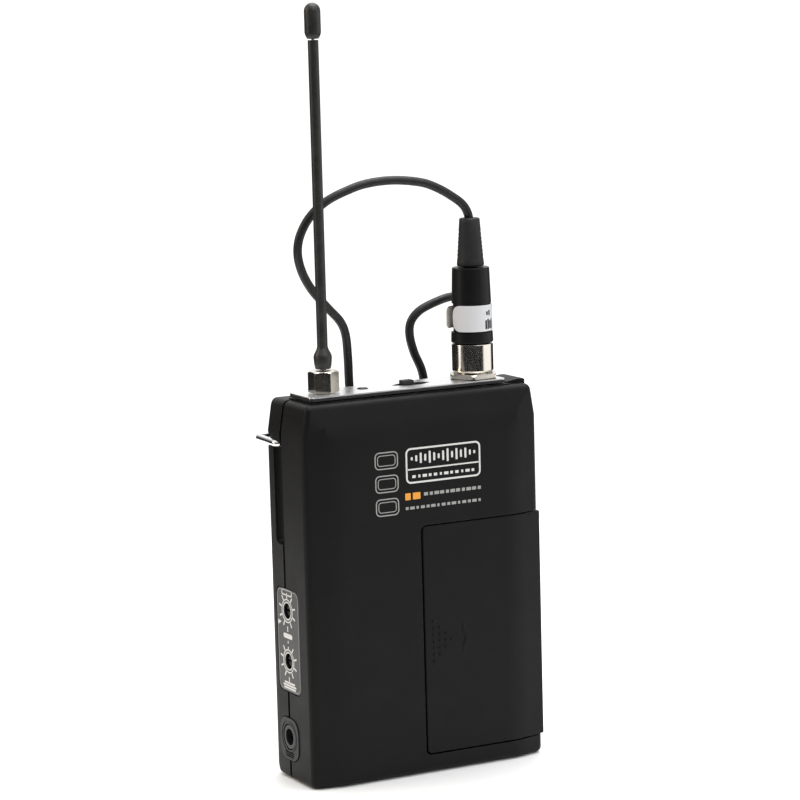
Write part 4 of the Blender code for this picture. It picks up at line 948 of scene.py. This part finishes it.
def front_print():
    """Plain marks on the front: status bars, a frame that holds a sound wave, and lines of dashes."""
    face = on_front(-BACK)
    column = []
    for z in (68, 73.75, 79.5):
        column += [outline_bar(-11.1, z, 6.4, 4.3, 1.2, 0.28), outline_bar(-11.1, z, 5, 2.7, 0.8, 0.2)]
    printed("status_bars", column, face, DIM_INK)
    emblem = [outline_bar(4.65, 77.5, 20.9, 8.8, 1.4, 0.45), bar(4.65, 76.6, 20.3, 0.35)]
    levels = (0.8, 1.5, 2.6, 1.7, 3, 2, 1.2, 2.4, 3.2, 1.6, 2.8, 1.9, 2.5, 1.3, 0.8)
    emblem += [bar(-4.1 + 1.25 * number, 79.25, 0.55, high, 0.2) for number, high in enumerate(levels)]
    emblem += dashes(-3.6, 74.8, 12, 1.5, 0.7, (1, 0.6, 1.3, 0.8))
    printed("emblem", emblem, face, PALE_INK)
    lines = dashes(-0.4, 70.2, 11, 1.5, 0.8, (1.2, 0.9, 1.4))
    lines += dashes(-5.7, 67.1, 15, 1.45, 0.7, (0.9, 1.4, 0.7, 1.2))
    printed("front_lines", lines, face, DIM_INK)
    printed("front_accent", [bar(-5.4, 70, 1.5, 1.7), bar(-3, 70, 2.1, 1.7)], face, AMBER_INK)


def side_strip():
    """Strip on the left side with a dial printed round each trimmer hole."""
    face = on_left(LEFT + 0.05)
    strip = slab(rounded_rectangle(LABEL_WIDE, LABEL_HIGH, 2, centre=LABEL_CENTRE), -0.35, 0, face, 0.1)
    for height in TRIMMER_Z:
        strip = cut(strip, rod(1.95, (LEFT - 2, SIDE_HOLE_Y, height), 4, "X"))
    piece("strip", strip, STRIP, "side_label")
    rim = outline_bar(*LABEL_CENTRE, LABEL_WIDE - 0.7, LABEL_HIGH - 0.7, 1.8, 0.16)
    printed("strip_outline", [rim], face, DIM_INK)
    middle = -SIDE_HOLE_Y
    marks = []
    for height in TRIMMER_Z:
        at = (middle, height)
        for radius in (2.3, 3):
            marks.append(frame_slab(circle(radius, at), circle(radius - 0.3, at), -INK_HIGH, INK_HIGH))
        for step in range(9):
            tick = bar(3.8, 0, 1.4, 0.46)
            tick.transform(shift(*at, 0) @ spin(37.5 * step - 60, "Z"))
            marks.append(tick)
    upper, lower = TRIMMER_Z
    between = (upper + lower) / 2
    for x, z, wide, high, radius in (
        (0, between + 1.75, 0.45, 1.4, 0.12),
        (0, between - 1.9, 0.45, 1.5, 0.12),
        (0, between, 4.8, 1.2, 0.5),
        (0, lower - 4.6, 0.45, 1.2, 0.12),
        (0.2, lower - 5.5, 5.6, 0.48, 0.12),
        (0.2, lower - 6.16, 7, 0.48, 0.12),
        (0.2, lower - 6.82, 6.4, 0.48, 0.12),
    ):
        marks.append(bar(middle + x, z, wide, high, radius))
    marks.append(outline_bar(middle, upper + 4.55, 5.6, 1.5, 0.5, 0.34))
    pointer = [(-5.2, -2.8), (-5.1, -4.1), (-3.3, -3.1)]
    marks.append(slab([(middle + x, upper + z) for x, z in pointer], -INK_HIGH, INK_HIGH))
    printed("strip_marks", marks, face, PALE_INK)


def jack():
    face = on_left(LEFT - 0.2)
    centre = (LEFT - 0.2, JACK_Y, JACK_Z)
    outline = rounded_rectangle(SURROUND_WIDE, SURROUND_HIGH, 3.4, 12, SURROUND_CENTRE)
    ring = slab(outline, -0.6, 0, face, 0.22, 4)
    ring = cut(ring, rod(3.3, (-34, JACK_Y, JACK_Z), 4, "X", 64))
    ring = cut(ring, lathe([(4.1, 0.12), (3.75, 0.12), (3.75, -1), (4.1, -1)], centre, "X", ring=True))
    piece("jack_rim", ring, JACK_RIM, "jack_surround")
    marks = [bar(-2.8, 5.75 + 0.5 * row, 4 + 0.5 * row, 0.32) for row in range(3)]
    printed("jack_marks", marks, face, DARK_INK)


front_print()
side_strip()
jack()


# ---------------------------------------------------------------- antenna, switch and lamp
def antenna():
    foot = PLATE_TOP + 0.2
    top = PLATE_TOP + 5.6
    high = top - foot
    at = (ANTENNA_X, FEATURE_Y)
    base = slab(hexagon(6.6, 31), foot, top, shift(*at, 0))
    guard = [(0, high), (2.75, high), (3, high - 0.08), (3.9, high - 0.6), (3.9, 0.25), (3.6, 0), (0, 0)]
    base = soften(keep(base, lathe(guard, (*at, foot))), 0.1, 3, 35, 70)
    base = cut(join(base, rod(1.6, (*at, 86), 11)), rod(0.8, (*at, 98), 8))
    piece("antenna_socket", base, NICKEL, "antenna_base")

    root = top + GAP
    tip = 181.1
    profile = [(1.3, tip - root)]
    for step in range(15):
        part = step / 14
        swell = 0.5 + 0.5 * math.cos(math.pi * part)
        profile.append((2.25 - 0.95 * swell, 5.6 - 2.8 * part))
    profile += [(2.15, 1.4), (1.98, 0.25), (1.8, 0), (0.75, 0), (0.75, tip - root)]
    piece("whip", lathe(profile, (*at, root), steps=48, ring=True), WHIP, "antenna_whip", sharp=50)

    dome = [(0, 8.6)]
    dome += [polar(2, 90 - 10 * step, (0, 6.6)) for step in range(1, 10)]
    dome += [(2, 1.5), (1.85, 0.9), (1.5, 0.2), (1.3, 0), (0, 0)]
    cap = cut(lathe(dome, (*at, tip + GAP), steps=48), rod(0.75, (*at, tip - 0.7), 6.4))
    piece("whip_tip", cap, WHIP, "antenna_tip", sharp=50)


def switch():
    rest = SWITCH_X - SWITCH_TRAVEL / 2
    knob = block((-1.5, -1.3, 94.7), (1.5, 1.3, 97.1), 0.25, 4)
    for x in (-0.75, 0, 0.75):
        knob = cut(knob, block((x - 0.17, -3, 96.8), (x + 0.17, 5, 99)))
    knob = soften(join(knob, block((-0.7, -0.8, 89.4), (0.7, 0.8, 95))), 0.06, 2, 60)
    knob.transform(shift(rest, FEATURE_Y, 0))
    piece("switch_knob", knob, PLASTIC, "power_knob", body="power_knob")


def lamp():
    profile = [(0, 6.3), (0.35, 6.27), (0.7, 6.14), (0.95, 5.9), (1.05, 5.6), (1.05, 0), (0, 0)]
    piece("lamp", lathe(profile, (LED_X, FEATURE_Y, 90)), LENS, "status_led")
    bezel = [(1.14, 0.18), (1.38, 0.1), (1.45, 0), (1.32, 0), (1.32, -1), (1.14, -1)]
    piece("lamp_bezel", lathe(bezel, (LED_X, FEATURE_Y, PLATE_TOP), ring=True), COLLAR)


# ---------------------------------------------------------------- socket and plug
def at_socket(name, mesh, finish, *nodes, body="plug", sharp=32):
    """A piece modelled on the socket's axis with the top plate at zero."""
    mesh.transform(shift(SOCKET_X, FEATURE_Y, PLATE_TOP))
    piece(name, mesh, finish, *nodes, body=body, sharp=sharp)


def socket():
    nut = slab(hexagon(11.3, 2), 0.2, 1.4)
    guard = [(0, 1.4), (5.6, 1.4), (6.1, 1.25), (6.4, 0.9), (6.4, 0.35), (6.1, 0.2), (0, 0.2)]
    nut = cut(keep(nut, lathe(guard)), rod(4.9, (0, 0, -2), 6, steps=64))
    at_socket("socket_ring", nut, NICKEL, "socket_nut", body=BODY)


def plug():
    sleeve = lathe([
        (4.95, 8.7), (5.1, 8.62), (5.15, 8.45), (5.15, 2.15), (5.08, 1.9), (4.9, 1.7), (3.8, 1.7),
        (3.8, -5.3), (3.7, -5.4), (3.4, -5.4), (3.4, 3), (4.45, 3), (4.45, 8.7),
    ], steps=96, ring=True)
    at_socket("plug_sleeve", cut(sleeve, block((-1.65, 3, 3.4), (1.65, 8, 7.4))), NICKEL, "plug_shell")

    core = rod(3.1, (0, 0, -5.1), 7.7, chamfer=0.15)
    for number in range(4):
        core = cut(core, rod(0.75, (*polar(1.75, 45 + 90 * number), -6), 7.4, steps=24))
    at_socket("plug_core", cut(core, block((-0.6, 2.4, -6), (0.6, 4, 1))), PLASTIC, "plug_insert")

    collar = lathe([
        (4.3, 27.7), (4.52, 27.64), (4.65, 27.4), (4.93, 18.8), (4.6, 18.8), (4.6, 11.6), (5.17, 11.6),
        (5.25, 9.35), (5.2, 9.1), (5.05, 9), (4.15, 9), (4.15, 7.9), (3.1, 7.9), (3.1, 25.6), (1.9, 25.6),
        (1.9, 27.7),
    ], steps=96, ring=True)
    at_socket("plug_grip", collar, COLLAR, "plug_collar")

    profile = [(0, 39.9), (2.15, 39.9), (2.4, 39.8), (2.55, 39.6)]
    for step in range(1, 12):
        height = 39.6 - 11.3 * step / 11
        swell = 2.55 + 0.85 * step / 11
        profile += [(swell, height + 0.25), (swell - 0.08, height)] if 2 < step < 10 else [(swell, height)]
    profile += [(3.25, 28), (1.6, 28), (1.6, 26.2), (0, 26.2)]
    at_socket("plug_boot", lathe(profile, steps=72), RELIEF, "plug_strain_relief", sharp=50)

    latch = block((-1.3, 4.3, 3.75), (1.3, 5.6, 7.05), 0.22)
    grooves = [block((-0.9, 5.45, z), (0.9, 6, z + 0.25)) for z in (4.6, 5.2, 5.8)]
    at_socket("latch_button", cut(latch, *grooves), NICKEL, "plug_latch", body="plug_latch")


def curved_strip(path, length, low, high, thickness, radius):
    """Upright strip outside a flat path of (travel, x, y), its ends rounded over the strip's length."""
    shape = bmesh.new()
    columns = []
    for before, (travel, x, y), after in zip(path[:1] + path, path, path[1:] + path[-1:]):
        ahead = (Vector(after[1:]) - Vector(before[1:])).normalized()
        inset = max(0, radius - min(travel, length - travel))
        drop = radius - math.sqrt(max(0, radius * radius - inset * inset))
        outer = (x + ahead.y * thickness, y - ahead.x * thickness)
        sides = (((x, y), low + drop), ((x, y), high - drop), (outer, high - drop), (outer, low + drop))
        columns.append([vertex(shape, *at, z) for at, z in sides])
    return capped("strip", shape, columns)


def plug_label():
    """Paper label round the plug; the end of it that comes round behind stands off as a flag."""
    inner = 4.94
    thickness = 0.22
    low = 11.95
    high = 18.45
    start, end, steps = 175, 430, 132
    length = math.radians(end - start) * inner
    path = [(length * k / steps, *polar(inner, start + (end - start) * k / steps)) for k in range(steps + 1)]
    at_socket("label", curved_strip(path, length, low, high, thickness, 2.7), PAPER, "plug_label", sharp=50)

    turn = 20
    path = []
    for step in range(25):
        travel = 5.6 * step / 24
        angle = 100 + min(math.degrees(travel / inner), turn)
        straight = max(0, travel - inner * math.radians(turn))
        path.append((travel + 2, *polar(straight, angle + 90, polar(inner + 0.02, angle))))
    flag = curved_strip(path, 7.6, low + 0.5, high - 0.5, 0.16, 1.3)
    # The flag wears the brightened paper finish: painted light against the collar's shade.
    at_socket("label_flag", flag, FLAG_PAPER_PAINTED_LIGHT)

    bars = []
    for angle, bar_low, bar_high in (
        (284, 0.52, 2.73), (292, 0.52, 2.99), (300, 0.65, 2.6), (308, 0.52, 2.99), (288, 4.03, 4.94),
        (297, 3.9, 5.2),
    ):
        mark = block((-0.02, -0.26, low + bar_low), (0.03, 0.26, low + bar_high))
        mark.transform(spin(angle, "Z") @ shift(inner + thickness, 0, 0))
        bars.append(mark)
    at_socket("label_marks", gather(*bars), DARK_INK)


antenna()
switch()
lamp()
socket()
plug()
plug_label()


# ---------------------------------------------------------------- belt clip
def belt_clip():
    y, z = CLIP_PIVOT
    half = [
        ((-CLIP_RUN_X, CLIP_BACK_Y + 1.2, CLIP_FOOT_Z), 6),
        ((-CLIP_RUN_X, CLIP_BACK_Y, CLIP_FOOT_Z + 9), 6),
        ((-CLIP_RUN_X, CLIP_BACK_Y, z + 0.9), 1.6),
        ((-CLIP_SIDE_X, CLIP_BACK_Y, z + 0.3), 1.5),
        ((-CLIP_SIDE_X, y, z), 1.2),
        ((-28.3, y, z), 0),
    ]
    mirrored = [((-x, y, z), radius) for (x, y, z), radius in reversed(half)]
    wire = tube(bent_path(mirrored + half, 12), CLIP_WIRE_R, 20, domed=True)
    piece("clip_wire", wire, SPRING_STEEL, "belt_clip", body="belt_clip", sharp=60)


# ---------------------------------------------------------------- capsule and tie clip
def microphone():
    boot_low = 22.2
    barrel_low = boot_low + 6.7
    grille_low = barrel_low + 13.3
    profile = [(0, 6.4), (2.2, 6.4), (2.3, 6.25), (2.3, 5.5), (2.15, 5.2)]
    for step in range(1, 9):
        height = 5.2 - 4.8 * step / 8
        swell = 2.2 - 0.75 * step / 8
        profile += [(swell, height + 0.2), (swell - 0.12, height)]
    profile += [(1.3, 0), (0, 0)]
    boot = piece("mic_boot", lathe(profile, (MIC_X, boot_low, MIC_Z), "Y", 48), RELIEF, "mic_strain_relief")

    barrel = lathe([
        (3.3, 13), (3.45, 12.95), (3.5, 12.8), (3.5, 11.4), (3.38, 11.3), (3.38, 11), (3.5, 10.9),
        (3.5, 2.6), (3.38, 2.5), (3.38, 2.2), (3.5, 2.1), (3.5, 0.6), (3.3, 0.25), (2.9, 0), (1.2, 0),
        (1.2, 1.2), (2.9, 1.2), (2.9, 13),
    ], (MIC_X, barrel_low, MIC_Z), "Y", ring=True)
    barrel = piece("mic_body", barrel, MIC_PAINT, "mic_barrel", sharp=40)

    outer = [(0, 6)]
    for step in range(1, 11):
        across, up = polar(1, 90 - 9 * step)
        outer.append((3.8 * across, 2.6 + 3.4 * up))
    outer += [(3.8, 0.4), (3.65, 0.1), (3.5, 0), (3.1, 0), (3.1, 2.6), (2.2, 4.6), (0, 5.2)]
    holes = [rod(0.36, (MIC_X, grille_low + 3, MIC_Z), 5, "Y", 12)]
    for tilt, count in ((22, 6), (45, 11), (68, 14)):
        for number in range(count):
            hole = rod(0.36, (0, 0, 0), 5, "Y", 12)
            turn = spin(360 * (number + 0.5 * (count % 2)) / count, "Y")
            hole.transform(shift(MIC_X, grille_low + 2.2, MIC_Z) @ turn @ spin(tilt, "X"))
            holes.append(hole)
    dome = cut(lathe(outer, (MIC_X, grille_low, MIC_Z), "Y"), gather(*holes))
    return boot, barrel, piece("mic_mesh", dome, MIC_PAINT, "mic_grille", sharp=40)


def tie_clip():
    pivot_x, pivot_y = pivot = (40.4, 38)
    low = 1.6
    high = 8
    hole = rod(1, (*pivot, 0), 12)
    fixed = slab([(37, 21), (38.3, 21), (38.3, 46.5), (37.8, 47.3), (37.2, 47.5), (37, 46)], low, high)
    fixed = soften(fixed, 0.12, 2, 50)
    for start, end in ((low, low + 0.8), (high - 0.8, high)):
        ear = rod(1.8, (*pivot, start), end - start, chamfer=0.08)
        fixed = join(fixed, join(ear, block((38, pivot_y - 1.8, start), (pivot_x, pivot_y + 1.8, end), 0.06)))
    ring = [(4.55, 3.6), (4.65, 3.5), (4.65, 0.1), (4.55, 0), (3.8, 0), (3.8, 3.6)]
    ring = lathe(ring, (MIC_X, 32.5, MIC_Z), "Y", ring=True)
    fixed = cut(join(fixed, ring, block((36.2, 32.8, 3.4), (37.6, 35.8, 6.2), 0.1)), hole)
    fixed = piece("clip_frame", fixed, STEEL, "clip_jaw_fixed", sharp=40)

    inset = 1.1
    moving = slab([
        (38.7, 21), (40.2, 21), (40.7, 34), (42.4, 38), (44.8, 47), (44.4, 47.5), (43.6, 47.6), (40.9, 41),
        (39, 37),
    ], low + inset, high - inset)
    tools = [hole, rod(2.1, (*pivot, 3.6), 2.4)]
    tools += [block((38, 21.8 + 1.5 * k, 0), (39.1, 22.4 + 1.5 * k, 12)) for k in range(5)]
    tools += [rod(0.22, (43.95 + 0.24 * k, 43.4 + 0.9 * k, 0), 12, steps=12) for k in range(4)]
    moving = cut(soften(moving, 0.12, 2, 50), *tools)
    piece("clip_lever", moving, STEEL, "clip_jaw_moving", body="tie_clip_jaw", sharp=40)

    coil = tube([(*polar(1.45, 12 * step, pivot), 4.1 + 1.4 * step / 60) for step in range(61)], 0.25, 12)
    spring = piece("clip_coil", coil, SPRING_STEEL, "clip_spring", sharp=60)
    pin = lathe([(0, 6.8), (0.55, 6.75), (0.7, 6.6), (0.7, 0.2), (0.55, 0.05), (0, 0)], (*pivot, 1.4))
    return fixed, spring, piece("clip_rivet", pin, STEEL, "clip_pin")


def coil_tie():
    """Hook-and-loop strap round the coil."""
    band = block((9.8, -2, 0.1), (16, 2, 10.4), 0.5, 4)
    room = block((10.3, -6, 0.5), (15.5, 6, 9.95), 0.5, 4)
    band = join(cut(band, room), block((11, -2, 10.3), (15.4, 2, 10.75), 0.15))
    band.transform(shift(*COIL_CENTRE) @ spin(55, "Z"))
    piece("coil_strap", band, STRAP, "cord_tie", sharp=40)


# ---------------------------------------------------------------- inside the case
def cells():
    inner = CELL_R - 0.95
    neck = CELL_L - 1
    for name, node, place in (
        ("cell_left", "battery_left", shift(CELL_X[0], CELL_Y, 9.1)),
        ("cell_right", "battery_right", shift(CELL_X[1], CELL_Y, 59.6) @ spin(180, "X")),
    ):
        for suffix, finish, nodes, ring, profile in (
            ("", SLEEVE, [node], True, [
                (CELL_R - 0.9, neck), (CELL_R - 0.3, neck), (CELL_R, neck - 0.35), (CELL_R, 0.35),
                (CELL_R - 0.3, 0), (CELL_R - 0.9, 0),
            ]),
            ("_band", SLEEVE_BAND, [], True, [
                (CELL_R + 0.02, CELL_L - 6), (CELL_R + 0.02, CELL_L - 13),
                (CELL_R - 0.1, CELL_L - 13), (CELL_R - 0.1, CELL_L - 6),
            ]),
            ("_plus", NICKEL, [], False, [
                (0, CELL_L), (2.4, CELL_L), (2.6, CELL_L - 0.2), (2.7, neck), (inner, neck - 0.1),
                (inner, CELL_L - 3), (0, CELL_L - 3),
            ]),
            ("_minus", NICKEL, [], False, [
                (0, 2), (inner, 2), (inner, 0.1), (4.5, 0.1), (4.3, -0.05), (0, -0.05),
            ]),
        ):
            mesh = lathe(profile, steps=72 if ring else 48, ring=ring)
            mesh.transform(place)
            piece(name + suffix, mesh, finish, *nodes)


def contact_coil(name, node, x, wide_z, narrow_z):
    turns = 2.8
    count = round(turns * 32)
    points = []
    for step in range(count + 1):
        part = step / count
        at = polar(4.2 - 1.8 * part, 360 * turns * part, (x, CELL_Y))
        points.append((*at, wide_z + (narrow_z - wide_z) * part))
    piece(name, tube(points, 0.3, 12), NICKEL, node, sharp=60)


def trimmer_rotors():
    profile = [(0, 3.9), (0.8, 3.9), (0.8, 2), (1.55, 2), (1.55, 0.15), (1.4, 0), (0, 0)]
    for tag, height in zip(("upper", "lower"), TRIMMER_Z):
        rotor = lathe(profile, (-31.8, SIDE_HOLE_Y, height), "X", 40)
        slot = block((-33, SIDE_HOLE_Y - 2, height - 0.28), (-31.1, SIDE_HOLE_Y + 2, height + 0.28))
        body = f"trimmer_rotor_{tag}"
        # The rotors take the black small-plastic finish in place of white nylon, so the trimmer holes show
        # dark: painted shade.
        piece(f"trimmer_{tag}", cut(rotor, slot), PLASTIC, body, body=body)


def dress(finish, *nodes):
    """Gives CAD nodes that are shown as they are their finish."""
    slot, skin = finish
    for node in nodes:
        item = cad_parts[node]
        item.data.materials.clear()
        item.data.materials.append(skin)


belt_clip()
mic_pieces = microphone()
clip_pieces = tie_clip()
coil_tie()
cells()
contact_coil("contact_coil_lower", "spring_lower", CELL_X[0], 6.3, 8.5)
contact_coil("contact_coil_upper", "spring_upper", CELL_X[1], 59.5, 57.1)
trimmer_rotors()
dress(TRAY, "battery_tray")
dress(BOARD, "main_board")
dress(TIN, "rf_shield")
dress(NICKEL, "contact_link", "contact_negative", "contact_positive", "antenna_nut", "socket_barrel")
dress(PLASTIC, "switch_body", "trimmer_body_lower", "trimmer_body_upper", "charge_jack", "socket_insert")
dress(STEEL, "antenna_core", "mic_capsule")


# ---------------------------------------------------------------- floor and light
def floor():
    shape = bmesh.new()
    bmesh.ops.create_circle(shape, cap_ends=True, segments=64, radius=0.33)
    skin = Skin("floor", (0.86, 0.86, 0.86), 0.6)
    item = bpy.data.objects.new("floor", to_mesh("floor", shape))
    item.location = (0.0, 0.0, -0.0002)
    item.data.materials.append(skin.material)
    bpy.context.scene.collection.objects.link(item)


def lamp_panel(name, towards, distance, size, power, colour=(1.0, 1.0, 1.0)):
    """Soft square light: towards is the direction it stands in, from what it lights."""
    light = bpy.data.lights.new(name, "AREA")
    light.shape = "RECTANGLE"
    light.size, light.size_y = size
    light.energy = power
    light.color = colour
    item = bpy.data.objects.new(name, light)
    direction = Vector(towards).normalized()
    item.location = Vector((0.0, 0.0, 0.09)) + direction * distance
    item.rotation_euler = direction.to_track_quat("Z", "Y").to_euler()
    bpy.context.scene.collection.objects.link(item)


def studio():
    """White backdrop. Light comes from above and behind and from two soft boxes; the near side is dim."""
    world = bpy.data.worlds.new("studio")
    world.use_nodes = True
    tree = world.node_tree
    towards = add_node(tree, "TexCoord", {}).outputs["Generated"]

    def facing(direction, edge, full, strength):
        """Brightness that rises from nothing to strength as the view turns to a direction."""
        turn = add_node(tree, "VectorMath", {0: towards, 1: direction}, operation="DOT_PRODUCT")
        inputs = {"Value": turn.outputs["Value"], "From Min": edge, "From Max": full, "To Max": strength}
        return add_node(tree, "MapRange", inputs, interpolation_type="SMOOTHSTEP").outputs[0]

    def mixed(operation, total, *parts):
        for part in parts:
            total = add_node(tree, "Math", {0: total, 1: part}, operation=operation).outputs[0]
        return total

    up = (0.0, 0.0, 1.0)
    right_box = facing((0.90, -0.435, 0.0), 0.80, 0.90, 1.3)
    left_box = facing((-0.978, 0.208, 0.0), 0.955, 0.985, 1.6)
    band = mixed("MULTIPLY", facing(up, -0.28, -0.20, 1.0), facing(up, 0.32, 0.18, 1.0))
    light = mixed(
        "ADD",
        mixed("MULTIPLY", facing((0.469, 0.883, 0.0), 0.60, 0.92, 0.95), facing(up, -0.10, 0.06, 1.0)),
        mixed("MULTIPLY", mixed("ADD", right_box, left_box), band),
        facing(up, -3.0, -2.0, 0.02),
        facing(up, 0.1, 0.8, 1.1),
        facing((0.2, -0.8, 0.56), 0.80, 0.93, 1.3),
    )
    white = (1.0, 1.0, 1.0, 1.0)
    shaded = add_node(tree, "Background", {"Color": white, "Strength": light}).outputs[0]
    backdrop = add_node(tree, "Background", {"Color": white, "Strength": 1.2}).outputs[0]
    seen = add_node(tree, "LightPath", {}).outputs["Is Camera Ray"]
    choice = add_node(tree, "MixShader", {0: seen, 1: shaded, 2: backdrop})
    feed(tree, tree.nodes["World Output"].inputs["Surface"], choice.outputs[0])
    bpy.context.scene.world = world
    bpy.context.scene.view_settings.view_transform = "Standard"


floor()
studio()
lamp_panel("key", (-1.0, 0.45, 0.5), 0.9, (0.3, 0.5), 2.2, (1.0, 0.84, 0.62))
lamp_panel("top", (0.15, 0.1, 1.0), 0.8, (0.7, 0.7), 7.0)
